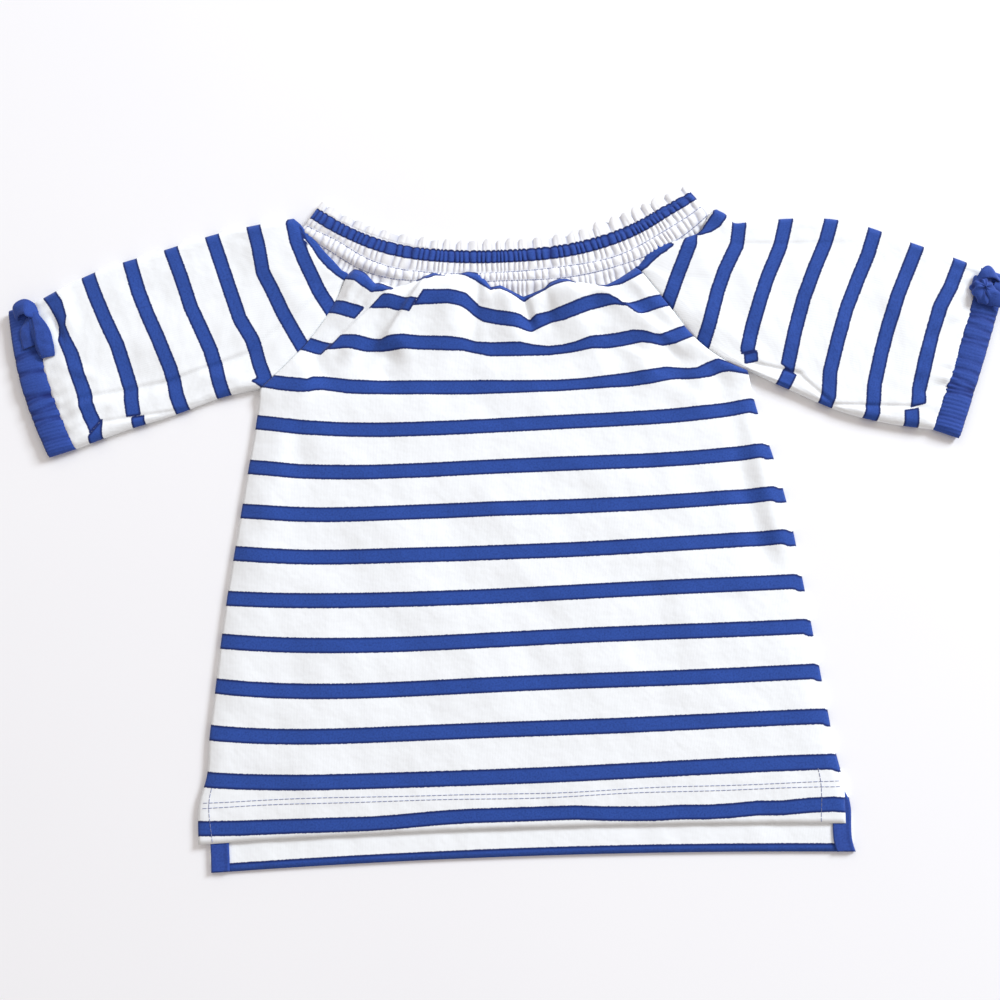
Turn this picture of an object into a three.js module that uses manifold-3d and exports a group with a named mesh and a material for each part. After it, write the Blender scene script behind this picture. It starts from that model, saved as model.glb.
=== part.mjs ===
// Child's off-the-shoulder top in striped jersey, laid flat with its front up.
// Millimetres. X runs across the body, Y towards the neck and Z up from the surface that it lies on.
// Every piece of cloth is a wall: the upper layer of a flat tube or panel lies over the lower one.
import * as THREE from 'three';
import { mergeVertices } from 'three/addons/utils/BufferGeometryUtils.js';
import Module from 'manifold-3d';

const wasm = await Module();
wasm.setup();

// Driving dimensions of the cloth
const wall = 1.2; // thickness of the jersey, a little more than life so that it stays a sound wall
const seamGap = 0.4; // left between two pieces that are sewn together
const slantedGap = 1.3 * seamGap; // the same gap, measured straight across the body at a slanting seam
const layerGap = 0.3; // left between two pieces that lie on each other
const loft = 5; // height of two layers of cloth laid on each other

// Colours and finish
const white = new THREE.Color('#f4f4f6');
const navy = new THREE.Color('#31509f');
const clothRoughness = 0.9;

// The shirred neck: a shallow U across the body, highest at its two ends
const neck = {
  middle: 5,
  halfWidth: 118,
  lowest: 160.5,
  rise: 34,
  power: 2.5,
  endNarrowing: 0.25,
  ribs: 64,
  frillWaves: 24,
  ribHeight: 1.3,
  frillHeight: 1.5,
  frillScallop: 1.4,
};

// Rows across the band from its lower edge to the top of the frill. ribs and frill are shares of
// the full height of the ribs and of the frill's waves.
const bandRows = [
  { up: -21, ribs: 0.55, frill: 0 },
  { up: -13, ribs: 1, frill: 0 },
  { up: -6, ribs: 0.5, frill: 0 },
  { up: 5.5, ribs: 0.7, frill: 0.1 },
  { up: 9, ribs: 0.2, frill: 0.7 },
  { up: 12.5, ribs: 0, frill: 1 },
];

// Where the front panel's two raglan seams start on the neck, as a share of its half width
const frontNeck = { left: -0.76, right: 0.61 };

// Underarm points, and how far each raglan seam bows towards the body. A skew over 1 moves the
// deepest place of the bow towards the underarm.
const underarm = { left: -148, right: 149, height: 81.5 };
const raglanBow = {
  left: { depth: 6.3, skew: 0.9 },
  right: { depth: 7.6, skew: 1.6 },
};

// The rows of the body cloth follow the neck's curve less and less further down
const neckCurve = { keptAtUnderarm: 0.38, goneBelowUnderarm: 150 };

// How fast the front panel rises from its edges to lie over the back panel
const edgeEase = { side: 9, hem: 12, underarm: 12 };

// Half widths of the body at distances below the underarm
const sideEdges = [
  { down: 0, left: 148, right: 149 },
  { down: 27, left: 152, right: 152.5 },
  { down: 52, left: 156.5, right: 159 },
  { down: 78, left: 161, right: 164.5 },
  { down: 131, left: 170, right: 171 },
  { down: 184, left: 177, right: 177 },
  { down: 235, left: 183.5, right: 182.5 },
  { down: 260, left: 187, right: 184.5 },
  { down: 284, left: 179.5, right: 188.5 },
];
const frontLength = 266; // from the underarm to the front hem
const backLength = 282; // from the underarm to the back hem
const hemTilt = -4.2; // how far the right end of the hems lies below the left end
const hemArch = 3.2; // how far the middle of the hems lies above a straight line between the ends
const hemLift = 1.8; // the front hem lies this much higher, on the vent tapes
const hemLiftReach = 60; // how far up the panel that lift fades

// Gathers of the front panel under the neck. at is the place across the neck, lean the sideways
// drift for each millimetre down, reach how far down the fold fades. A gather is twice as wide
// gatherSpread further down.
const gatherSpread = 70;
const frontGathers = [
  { at: -84, lean: -0.5, width: 5, height: 2.4, reach: 30 },
  { at: -62, lean: -0.95, width: 7, height: 4.2, reach: 42 },
  { at: -42, lean: -0.5, width: 7, height: 4.6, reach: 48 },
  { at: -26, lean: -0.1, width: 8, height: 4.2, reach: 34 },
  { at: -8, lean: 0.3, width: 6, height: 3.2, reach: 44 },
  { at: 6, lean: 0.1, width: 5, height: 2.6, reach: 26 },
  { at: 26, lean: 0.25, width: 6, height: 3.4, reach: 40 },
  { at: 45, lean: 0.35, width: 8, height: 4.8, reach: 42 },
  { at: 62, lean: 0.75, width: 7, height: 4, reach: 46 },
  { at: 78, lean: 0.8, width: 5, height: 2.4, reach: 30 },
];

// Sleeve outlines: distances out from the middle of the body and heights, for the folded top edge
// and for the underarm edge. along runs from the cuff to the raglan seam.
const leftSleeveEdges = [
  { along: 0, topOut: 287, topY: 141.5, underOut: 260.5, underY: 48.5 },
  { along: 0.25, topOut: 249, topY: 160, underOut: 231, underY: 58.5 },
  { along: 0.5, topOut: 210, topY: 171.5, underOut: 201, underY: 67 },
  { along: 0.75, topOut: 170, topY: 182.5, underOut: 173, underY: 76.5 },
  { along: 1, topOut: 127, topY: 189.5, underOut: 148, underY: 81.5 },
];
const rightSleeveEdges = [
  { along: 0, topOut: 298, topY: 138.5, underOut: 257.5, underY: 38 },
  { along: 0.25, topOut: 257, topY: 156.5, underOut: 229, underY: 43.5 },
  { along: 0.5, topOut: 218, topY: 172.5, underOut: 202, underY: 52 },
  { along: 0.75, topOut: 180, topY: 176, underOut: 176, underY: 65 },
  { along: 0.88, topOut: 157, topY: 174.5, underOut: 162, underY: 73 },
  { along: 1, topOut: 137, topY: 184, underOut: 149, underY: 81.5 },
];
const sleeveSeam = { cornerAtBand: 0.07, cornerAtRaglan: 0.33 };
const openingBow = { left: 4.5, right: 0.8 }; // how far the sleeve's opening bows outwards

// Soft folds along the sleeves, from one point to another given by along and across. foldFade is the
// share of a fold's length over which each end fades, and foldFreeEdge the share of the sleeve's
// width at each edge where folds die out.
const foldFade = 0.2;
const foldFreeEdge = 0.125;
const leftSleeveFolds = [
  { fromAlong: 0.05, fromAcross: 0.72, toAlong: 0.95, toAcross: 0.5, width: 0.07, height: 2.4 },
  { fromAlong: 0.55, fromAcross: 0.25, toAlong: 1, toAcross: 0.3, width: 0.08, height: 2.2 },
  { fromAlong: 0, fromAcross: 0.35, toAlong: 0.3, toAcross: 0.4, width: 0.06, height: 1.8 },
];
const rightSleeveFolds = [
  { fromAlong: 0.05, fromAcross: 0.78, toAlong: 0.9, toAcross: 0.62, width: 0.07, height: 2.2 },
  { fromAlong: 0.5, fromAcross: 0.3, toAlong: 1, toAcross: 0.28, width: 0.08, height: 2.4 },
  { fromAlong: 0, fromAcross: 0.4, toAlong: 0.35, toAcross: 0.36, width: 0.06, height: 1.8 },
];

// Elastic cuffs
const cuff = { width: 15, loft: 6, gathers: 24, gatherHeight: 0.9 };

// Bows of tape tied over the top end of each cuff. down is the middle of a piece along the cuff from
// its top end, out its middle across the cuff, turn and tilt are radians in plan and in height.
const bowClearance = 0.4;
const tapeWall = 1;
const leftBow = [
  { kind: 'loop', down: 5, out: 4.5, length: 12, height: 4.5, width: 14, turn: 0, tilt: 0.15 },
  { kind: 'loop', down: 24, out: -1, length: 31, height: 4, width: 10, turn: 0, tilt: 0 },
  { kind: 'tail', down: 18, out: 6, length: 18, height: tapeWall, width: 5, turn: 0, tilt: 0 },
  { kind: 'knot', down: 10.5, out: 3, length: 8, height: 5.5, width: 10, turn: 0, tilt: 0 },
];
const rightBow = [
  { kind: 'loop', down: 6, out: 4, length: 13, height: 4.5, width: 16, turn: 0, tilt: 0.15 },
  { kind: 'loop', down: 13, out: 15, length: 24, height: 4, width: 11, turn: -1.2, tilt: 0 },
  { kind: 'tail', down: 20, out: 9, length: 16, height: tapeWall, width: 5, turn: -0.5, tilt: 0 },
  { kind: 'knot', down: 12.5, out: 3, length: 13, height: 6, width: 14, turn: 0, tilt: 0 },
];
const bowCurveSteps = 8;

// Navy tapes that face the back panel's vent edges
const ventTape = { width: 11, length: 37, thickness: 1, inset: 1.2 };

// Reads a smooth value from a table: a cubic through its rows, by the table's first column
function readTable(table, key, column, at) {
  const last = table.length - 1;
  let row = 0;
  while (row < last - 1 && at > table[row + 1][key]) row += 1;
  const slopeAt = (i) => {
    const before = table[Math.max(i - 1, 0)];
    const after = table[Math.min(i + 1, last)];
    return (after[column] - before[column]) / (after[key] - before[key]);
  };
  const step = table[row + 1][key] - table[row][key];
  const t = (at - table[row][key]) / step;
  const blend = t * t * (3 - 2 * t);
  const startPull = t * (1 - t) * (1 - t) * step * slopeAt(row);
  const endPull = t * t * (t - 1) * step * slopeAt(row + 1);
  return THREE.MathUtils.lerp(table[row][column], table[row + 1][column], blend) + startPull + endPull;
}

function mix(a, b, share) {
  return a.map((value, i) => THREE.MathUtils.lerp(value, b[i], share));
}

// count + 1 evenly spaced values from one number to another
function spaced(from, to, count) {
  return Array.from({ length: count + 1 }, (unused, i) => THREE.MathUtils.lerp(from, to, i / count));
}

// A soft hill of height 1 at distance 0, one width wide to each side
function hill(distance, width) {
  return Math.exp(-((distance / width) ** 2));
}

// Collects a closed surface from rows of points that share their vertices
class Wall {
  constructor() {
    this.positions = [];
    this.triangles = [];
  }

  addRow(points) {
    return points.map((point) => this.positions.push(...point) / 3 - 1);
  }

  addQuad(a, b, c, d) {
    this.triangles.push(a, b, c, a, c, d);
  }

  // The strip between two rows that have the same number of points
  joinEven(lower, upper, closed) {
    const count = closed ? lower.length : lower.length - 1;
    for (let i = 0; i < count; i += 1) {
      const next = (i + 1) % lower.length;
      this.addQuad(lower[i], lower[next], upper[next], upper[i]);
    }
  }

  // The strip between two closed rows whose points lie at their own places round the loop
  joinUneven(lower, lowerPlaces, upper, upperPlaces) {
    let i = 0;
    let j = 0;
    while (i < lower.length || j < upper.length) {
      const nextLower = i < lower.length ? (lowerPlaces[i + 1] ?? 1) : 2;
      const nextUpper = j < upper.length ? (upperPlaces[j + 1] ?? 1) : 2;
      const a = lower[i % lower.length];
      const d = upper[j % upper.length];
      if (nextLower <= nextUpper) {
        this.triangles.push(a, lower[(i + 1) % lower.length], d);
        i += 1;
      } else {
        this.triangles.push(a, upper[(j + 1) % upper.length], d);
        j += 1;
      }
    }
  }

  corner(index) {
    return new THREE.Vector3().fromArray(this.positions, 3 * index);
  }

  // Six times the volume inside, negative where the triangles face inwards
  signedVolume() {
    let sum = 0;
    for (let i = 0; i < this.triangles.length; i += 3) {
      const [a, b, c] = this.triangles.slice(i, i + 3).map((index) => this.corner(index));
      sum += a.dot(b.cross(c));
    }
    return sum;
  }

  geometry() {
    const triangles = this.signedVolume() < 0 ? [...this.triangles].reverse() : this.triangles;
    const result = new THREE.BufferGeometry();
    result.setAttribute('position', new THREE.Float32BufferAttribute(this.positions, 3));
    result.setIndex(triangles);
    return result;
  }
}

// A panel of cloth: an upper and a lower grid of points, closed along its four edges
function panelGeometry(upperRows, lowerRows) {
  const panel = new Wall();
  const upper = upperRows.map((row) => panel.addRow(row));
  const lower = lowerRows.map((row) => panel.addRow(row));
  const last = upper.length - 1;
  for (let i = 0; i < last; i += 1) {
    panel.joinEven(upper[i + 1], upper[i], false);
    panel.joinEven(lower[i], lower[i + 1], false);
  }
  panel.joinEven(upper[0], lower[0], false);
  panel.joinEven(lower[last], upper[last], false);
  const column = (grid, pick) => grid.map((row) => row.at(pick));
  panel.joinEven(column(lower, 0), column(upper, 0), false);
  panel.joinEven(column(upper, -1), column(lower, -1), false);
  return panel.geometry();
}

// A tube of cloth: closed loops of points outside and inside, joined at its two open ends
function tubeGeometry(outerRings, outerPlaces, innerRings, innerPlaces) {
  const tube = new Wall();
  const outer = outerRings.map((ring) => tube.addRow(ring));
  const inner = innerRings.map((ring) => tube.addRow(ring));
  for (let i = 0; i < outer.length - 1; i += 1) tube.joinEven(outer[i], outer[i + 1], true);
  for (let i = 0; i < inner.length - 1; i += 1) tube.joinEven(inner[i + 1], inner[i], true);
  tube.joinUneven(inner[0], innerPlaces, outer[0], outerPlaces);
  tube.joinUneven(outer.at(-1), outerPlaces, inner.at(-1), innerPlaces);
  return tube.geometry();
}

// The section of a flat tube: where each point of a ring lies across the tube and how high.
// The ring runs along the upper layer, round the far fold, back along the lower layer and round the
// near fold. inset is 0 outside and the wall's thickness inside.
function flatSection({ width, height, inset, upperSteps, lowerSteps, foldSteps }) {
  const bend = height / 2;
  const edge = bend / width;
  const upper = [edge, ...upperSteps, 1 - edge].map((across) => ({ across, level: height - inset, upper: 1 }));
  const lower = [1 - edge, ...lowerSteps, edge].map((across) => ({ across, level: inset, upper: 0 }));
  const foldAt = (centre, outwards, turn) => ({
    across: centre + (outwards * Math.cos(turn) * (bend - inset)) / width,
    level: bend + Math.sin(turn) * (bend - inset),
    upper: 0,
  });
  const turns = spaced(Math.PI / 2, -Math.PI / 2, foldSteps).slice(1, -1);
  const farFold = turns.map((turn) => foldAt(1 - edge, 1, turn));
  const nearFold = turns.map((turn) => foldAt(edge, -1, -turn));
  return [...upper, ...farFold, ...lower, ...nearFold];
}

// The neck: a point at a share of the half width, moved up or down the band by an offset
function neckPoint(share, offset) {
  const x = neck.middle + neck.halfWidth * share;
  const y = neck.lowest + neck.rise * Math.abs(share) ** neck.power;
  const steepness = (neck.rise * neck.power * Math.abs(share) ** (neck.power - 1)) / neck.halfWidth;
  const slope = Math.sign(share) * steepness;
  const moved = (offset * (1 - neck.endNarrowing * share ** 4)) / Math.hypot(1, slope);
  return [x - slope * moved, y + moved];
}

// The lower edge of the band, where panels and sleeves are sewn to it
function neckSeam(share) {
  return neckPoint(share, bandRows[0].up - seamGap);
}

// The raglan seam from the neck, at 0, to the underarm, at 1
function raglanPoint(side, down) {
  const name = side < 0 ? 'left' : 'right';
  const start = neckSeam(frontNeck[name]);
  const end = [underarm[name], underarm.height];
  const [x, y] = mix(start, end, down);
  const length = Math.hypot(end[0] - start[0], end[1] - start[1]);
  const { depth, skew } = raglanBow[name];
  const bow = (depth * Math.sin(Math.PI * down ** skew)) / length;
  return [x - side * bow * (start[1] - end[1]), y - bow * Math.abs(end[0] - start[0])];
}

// The side edge of the body, by distance below the underarm
function sidePoint(side, down) {
  const half = readTable(sideEdges, 'down', side < 0 ? 'left' : 'right', down);
  const tilt = (hemTilt * Math.max(side, 0) * down) / frontLength;
  return [side * half, underarm.height - down + tilt];
}

// Rows of a body panel, each with the points of its left and right ends, the share of the neck's
// curve that the row still has and the height of its arch
function panelRows(length, raglanRows, sideRows) {
  const rows = [];
  for (const down of spaced(0, 1, raglanRows)) {
    const curve = THREE.MathUtils.lerp(1, neckCurve.keptAtUnderarm, down) ** 2;
    rows.push({ left: raglanPoint(-1, down), right: raglanPoint(1, down), curve, arch: 0, below: 0 });
  }
  for (const down of spaced(0, length, sideRows).slice(1)) {
    const kept = neckCurve.keptAtUnderarm * Math.max(1 - down / neckCurve.goneBelowUnderarm, 0);
    const curve = kept ** 2;
    const arch = hemArch * (down / frontLength) ** 2;
    rows.push({ left: sidePoint(-1, down), right: sidePoint(1, down), curve, arch, below: down });
  }
  return rows;
}

// A point of a panel's row: along the straight line between its ends, bent as the neck is and
// arched as the hem is
function rowPoint(row, across) {
  const share = THREE.MathUtils.lerp(frontNeck.left, frontNeck.right, across);
  const chord = mix(neckSeam(frontNeck.left), neckSeam(frontNeck.right), across);
  const bent = neckSeam(share);
  const [x, y] = mix(row.left, row.right, across);
  const arched = y + row.arch * 4 * across * (1 - across);
  return [x + (bent[0] - chord[0]) * row.curve, arched + (bent[1] - chord[1]) * row.curve];
}

function gatherHeight(x, y) {
  const share = (x - neck.middle) / neck.halfWidth;
  const drop = Math.max(neckSeam(THREE.MathUtils.clamp(share, -1, 1))[1] - y, 0);
  let height = 0;
  for (const fold of frontGathers) {
    const spread = fold.width * (1 + drop / gatherSpread);
    height += fold.height * hill(x - fold.at - fold.lean * drop, spread) * Math.exp(-drop / fold.reach);
  }
  return height;
}

function makeFrontPanel() {
  const rows = panelRows(frontLength, 10, 12);
  const columns = spaced(0, 1, 34);
  const restLevel = wall + layerGap;
  const fullLevel = loft - wall;
  const lower = rows.map((row) => columns.map((across) => {
    const [x, y] = rowPoint(row, across);
    const width = row.right[0] - row.left[0];
    const fromSide = Math.min(across, 1 - across) * width;
    const fromHem = frontLength - row.below;
    const atSide = Math.exp(-fromSide / edgeEase.side) * Math.min(row.below / edgeEase.underarm, 1);
    const hemLevel = restLevel + hemLift * Math.exp(-fromHem / hemLiftReach);
    const edgeDrop = (fullLevel - hemLevel) * Math.max(atSide, Math.exp(-fromHem / edgeEase.hem));
    return [x, y, fullLevel - edgeDrop + gatherHeight(x, y) * (1 - atSide)];
  }));
  const upper = lower.map((row) => row.map(([x, y, z]) => [x, y, z + wall]));
  return panelGeometry(upper, lower);
}

function makeBackPanel() {
  const rows = panelRows(backLength, 10, 6);
  const columns = spaced(0, 1, 20);
  const lower = rows.map((row) => columns.map((across) => [...rowPoint(row, across), 0]));
  const upper = lower.map((row) => row.map(([x, y]) => [x, y, wall]));
  return panelGeometry(upper, lower);
}

// The seam end of a sleeve: past the band's end, along the band, then down the raglan seam. It
// keeps its gap sideways, and upwards too where the raglan seam levels out.
function sleeveSeamPoint(side, top, across) {
  const name = side < 0 ? 'left' : 'right';
  const { cornerAtBand, cornerAtRaglan } = sleeveSeam;
  let point;
  let lift = 0;
  if (across < cornerAtBand) {
    point = mix(top, neckSeam(side), across / cornerAtBand);
  } else if (across < cornerAtRaglan) {
    const share = (across - cornerAtBand) / (cornerAtRaglan - cornerAtBand);
    point = neckSeam(THREE.MathUtils.lerp(side, frontNeck[name], share));
  } else {
    const down = (across - cornerAtRaglan) / (1 - cornerAtRaglan);
    point = raglanPoint(side, down);
    lift = slantedGap * Math.sqrt(down);
  }
  return [point[0] + side * slantedGap, point[1] + lift];
}

function foldHeight(folds, along, across) {
  let height = 0;
  for (const fold of folds) {
    const share = (along - fold.fromAlong) / (fold.toAlong - fold.fromAlong);
    const centre = THREE.MathUtils.lerp(fold.fromAcross, fold.toAcross, share);
    const start = THREE.MathUtils.smoothstep(share, -foldFade, foldFade);
    const end = THREE.MathUtils.smoothstep(1 - share, -foldFade, foldFade);
    height += fold.height * hill(across - centre, fold.width) * start * end;
  }
  return height * Math.min(1, across / foldFreeEdge, (1 - across) / foldFreeEdge);
}

// A sleeve's opening: a point across it, bowed outwards and moved further out
function openingPoint(side, edges, across, out) {
  const top = [side * edges[0].topOut, edges[0].topY];
  const under = [side * edges[0].underOut, edges[0].underY];
  const width = Math.hypot(top[0] - under[0], top[1] - under[1]);
  const outwards = [(side * (top[1] - under[1])) / width, (-side * (top[0] - under[0])) / width];
  const bow = openingBow[side < 0 ? 'left' : 'right'] * Math.sin(Math.PI * THREE.MathUtils.clamp(across, 0, 1));
  const [x, y] = mix(top, under, across);
  return [x + outwards[0] * (bow + out), y + outwards[1] * (bow + out)];
}

function makeSleeve(side, edges, folds) {
  const read = (column, along) => readTable(edges, 'along', column, along);
  const topPoint = (along) => [side * read('topOut', along), read('topY', along)];
  const underPoint = (along) => [side * read('underOut', along), read('underY', along)];
  const place = (along, across) => {
    const straight = mix(topPoint(along), underPoint(along), across);
    const seam = sleeveSeamPoint(side, topPoint(1), across);
    const seamChord = mix(topPoint(1), underPoint(1), across);
    const seamBend = along ** 3;
    const opening = openingPoint(side, edges, across, 0);
    const openingChord = mix(topPoint(0), underPoint(0), across);
    const openingBend = (1 - along) ** 3;
    return straight.map((value, i) => {
      const atSeam = (seam[i] - seamChord[i]) * seamBend;
      const atOpening = (opening[i] - openingChord[i]) * openingBend;
      return value + atSeam + atOpening;
    });
  };
  const upperSteps = [0.07, 0.135, 0.2, 0.265, 0.33, 0.41, 0.49, 0.57, 0.65, 0.73, 0.81, 0.88, 0.94];
  const lowerSteps = [0.94, 0.88, 0.81, 0.73, 0.65, 0.57, 0.49, 0.41, 0.33, 0.265, 0.2, 0.135, 0.07];
  const ringAt = (along, inset) => {
    const width = Math.hypot(...topPoint(along).map((value, i) => value - underPoint(along)[i]));
    const section = flatSection({ width, height: loft, inset, upperSteps, lowerSteps, foldSteps: 4 });
    return section.map(({ across, level, upper }) => {
      return [...place(along, across), level + upper * foldHeight(folds, along, across)];
    });
  };
  const alongSteps = spaced(0, 1, 14);
  const outer = alongSteps.map((along) => ringAt(along, 0));
  const inner = alongSteps.map((along) => ringAt(along, wall));
  const places = outer[0].map((point, i) => i / outer[0].length);
  return tubeGeometry(outer, places, inner, places);
}

// The share of the way round a section at which each of its points lies, for joining rings
function placesRound(section) {
  const count = section.length;
  const upperCount = section.filter((point) => point.upper).length;
  return section.map((point, i) => {
    if (i < upperCount) return (0.5 * i) / upperCount;
    return 0.5 + (0.5 * (i - upperCount)) / (count - upperCount);
  });
}

function makeNeckBand() {
  const shirring = {
    width: 2 * neck.halfWidth,
    height: loft,
    foldSteps: 4,
  };
  const fine = spaced(0, 1, 3 * neck.ribs).slice(4, -4);
  const plain = spaced(0, 1, 30).slice(1, -1);
  const plainBack = [...plain].reverse();
  const outerSection = flatSection({ ...shirring, inset: 0, upperSteps: fine, lowerSteps: plainBack });
  const innerSection = flatSection({ ...shirring, inset: wall, upperSteps: plain, lowerSteps: plainBack });
  const outerRings = bandRows.map((row) => outerSection.map(({ across, level, upper }) => {
    const rib = Math.sin(Math.PI * neck.ribs * across) ** 2 * row.ribs * neck.ribHeight;
    const wave = 0.5 - 0.5 * Math.cos(2 * Math.PI * neck.frillWaves * across);
    const frill = wave * row.frill * upper;
    const up = row.up + (frill - row.frill) * neck.frillScallop;
    return [...neckPoint(2 * across - 1, up), level + upper * rib + frill * neck.frillHeight];
  }));
  const innerRings = [bandRows[0], bandRows.at(-1)].map((row) => innerSection.map(({ across, level }) => {
    const up = row.up - row.frill * neck.frillScallop;
    return [...neckPoint(2 * across - 1, up), level];
  }));
  return tubeGeometry(outerRings, placesRound(outerSection), innerRings, placesRound(innerSection));
}

function makeCuff(side, edges) {
  const { topOut, topY, underOut, underY } = edges[0];
  const width = Math.hypot(topOut - underOut, topY - underY);
  const place = (across, out) => openingPoint(side, edges, across, out + seamGap);
  const shape = { width, height: cuff.loft, foldSteps: 4 };
  const fine = spaced(0, 1, 3 * cuff.gathers).slice(3, -3);
  const plain = spaced(0, 1, 10).slice(1, -1);
  const plainBack = [...plain].reverse();
  const outerSection = flatSection({ ...shape, inset: 0, upperSteps: fine, lowerSteps: plainBack });
  const innerSection = flatSection({ ...shape, inset: wall, upperSteps: plain, lowerSteps: plainBack });
  const rows = [
    { out: 0, gather: 0.8 },
    { out: 0.35 * cuff.width, gather: 1 },
    { out: 0.7 * cuff.width, gather: 1 },
    { out: cuff.width, gather: 0.5 },
  ];
  const outerRings = rows.map((row) => outerSection.map(({ across, level, upper }) => {
    const fold = Math.sin(Math.PI * cuff.gathers * across) ** 2 * row.gather * cuff.gatherHeight;
    return [...place(across, row.out), level + upper * fold];
  }));
  const innerRings = [rows[0], rows.at(-1)].map((row) => innerSection.map(({ across, level }) => {
    return [...place(across, row.out), level];
  }));
  return tubeGeometry(outerRings, placesRound(outerSection), innerRings, placesRound(innerSection));
}

// A solid that can be joined: its corners are shared and carry a position only
function toSolid(geometry) {
  geometry.deleteAttribute('normal');
  geometry.deleteAttribute('uv');
  const merged = mergeVertices(geometry, 1e-4);
  const mesh = new wasm.Mesh({
    numProp: 3,
    vertProperties: merged.attributes.position.array,
    triVerts: new Uint32Array(merged.index.array),
  });
  return new wasm.Manifold(mesh);
}

// One piece of a bow, its length along X, its height along Y and its width along Z
function bowPieceGeometry({ kind, length, height, width }) {
  if (kind === 'knot') return new THREE.SphereGeometry(0.5, 12, 8).scale(length, height, width);
  const outline = new THREE.Shape();
  if (kind === 'tail') {
    outline.moveTo(-length / 2, -height / 2);
    outline.lineTo(length / 2, -height / 2);
    outline.lineTo(length / 2, height / 2);
    outline.lineTo(-length / 2, height / 2);
  } else {
    outline.absellipse(0, 0, length / 2, height / 2, 0, 2 * Math.PI);
    const inside = new THREE.Path();
    inside.absellipse(0, 0, length / 2 - tapeWall, height / 2 - tapeWall, 0, 2 * Math.PI);
    outline.holes.push(inside);
  }
  const options = { depth: width, bevelEnabled: false, curveSegments: bowCurveSteps };
  return new THREE.ExtrudeGeometry(outline, options).translate(0, 0, -width / 2);
}

function makeBow(side, edges, pieces) {
  const top = new THREE.Vector3(side * edges[0].topOut, edges[0].topY, 0);
  const under = new THREE.Vector3(side * edges[0].underOut, edges[0].underY, 0);
  const downCuff = under.sub(top).normalize();
  const up = new THREE.Vector3(0, 0, 1);
  const acrossCuff = new THREE.Vector3().crossVectors(downCuff, up);
  const frame = new THREE.Matrix4().makeBasis(downCuff, up, acrossCuff).setPosition(top);
  const rest = cuff.loft + cuff.gatherHeight + bowClearance;
  const solids = pieces.map((piece) => {
    const geometry = bowPieceGeometry(piece);
    geometry.rotateZ(piece.tilt).rotateY(side * piece.turn);
    geometry.translate(piece.down, rest + piece.height / 2, -side * piece.out);
    return toSolid(geometry.applyMatrix4(frame));
  });
  const joined = solids.reduce((whole, solid) => whole.add(solid)).getMesh();
  const result = new THREE.BufferGeometry();
  result.setAttribute('position', new THREE.BufferAttribute(joined.vertProperties, 3));
  result.setIndex(new THREE.BufferAttribute(joined.triVerts, 1));
  return result;
}

function makeVentTape(side) {
  const rows = spaced(backLength - ventTape.length, backLength - ventTape.inset, 4).map((down) => {
    const [x, y] = sidePoint(side, down);
    const outer = x - side * ventTape.inset;
    return [outer, outer - side * ventTape.width].map((end) => [end, y, wall + layerGap]);
  });
  const upper = rows.map((row) => row.map(([x, y, z]) => [x, y, z + ventTape.thickness]));
  return panelGeometry(upper, rows);
}

const parts = [
  { name: 'back_panel', geometry: makeBackPanel(), colour: white },
  { name: 'front_panel', geometry: makeFrontPanel(), colour: white },
  { name: 'left_sleeve', geometry: makeSleeve(-1, leftSleeveEdges, leftSleeveFolds), colour: white },
  { name: 'right_sleeve', geometry: makeSleeve(1, rightSleeveEdges, rightSleeveFolds), colour: white },
  { name: 'neck_band', geometry: makeNeckBand(), colour: white },
  { name: 'left_cuff', geometry: makeCuff(-1, leftSleeveEdges), colour: navy },
  { name: 'right_cuff', geometry: makeCuff(1, rightSleeveEdges), colour: navy },
  { name: 'left_bow', geometry: makeBow(-1, leftSleeveEdges, leftBow), colour: navy },
  { name: 'right_bow', geometry: makeBow(1, rightSleeveEdges, rightBow), colour: navy },
  { name: 'left_vent_tape', geometry: makeVentTape(-1), colour: navy },
  { name: 'right_vent_tape', geometry: makeVentTape(1), colour: navy },
];

const group = new THREE.Group();
for (const { name, geometry, colour } of parts) {
  const material = new THREE.MeshStandardMaterial({ color: colour, roughness: clothRoughness, metalness: 0 });
  const mesh = new THREE.Mesh(geometry, material);
  mesh.name = name;
  group.add(mesh);
}

// The origin is the middle of the whole garment, on the surface that it lies on
const box = new THREE.Box3().setFromObject(group);
group.position.set(-(box.min.x + box.max.x) / 2, -(box.min.y + box.max.y) / 2, 0);

export default group;
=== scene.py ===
import math

import bpy
import numpy as np
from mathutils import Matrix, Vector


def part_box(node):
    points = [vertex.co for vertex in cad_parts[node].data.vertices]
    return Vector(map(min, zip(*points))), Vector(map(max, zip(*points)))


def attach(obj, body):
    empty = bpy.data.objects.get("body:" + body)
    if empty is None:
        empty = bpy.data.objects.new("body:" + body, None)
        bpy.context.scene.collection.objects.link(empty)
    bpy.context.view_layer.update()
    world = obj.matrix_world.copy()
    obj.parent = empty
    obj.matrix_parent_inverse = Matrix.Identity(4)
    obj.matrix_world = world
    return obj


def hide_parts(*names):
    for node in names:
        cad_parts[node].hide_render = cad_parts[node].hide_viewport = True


# A child's off-the-shoulder top in striped jersey, laid flat with its front up. Places are in
# millimetres in the garment's own plan: x across the body, y towards the neck, z up from the surface
# that it lies on. Left and right are as seen from above with the neck at the top.
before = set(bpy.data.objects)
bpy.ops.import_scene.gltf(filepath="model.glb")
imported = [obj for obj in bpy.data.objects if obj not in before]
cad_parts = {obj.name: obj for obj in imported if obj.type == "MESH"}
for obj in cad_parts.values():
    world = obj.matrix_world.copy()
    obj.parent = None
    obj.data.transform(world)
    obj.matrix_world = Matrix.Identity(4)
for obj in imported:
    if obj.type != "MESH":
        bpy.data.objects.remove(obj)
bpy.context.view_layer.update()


# The camera. It stands above the garment and looks down at it, tilted a little towards the neck.
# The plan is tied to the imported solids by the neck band: its middle across, and its lowest point.
band_low, band_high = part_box("neck_band")
neck_middle = 5  # x of the neck's middle
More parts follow.
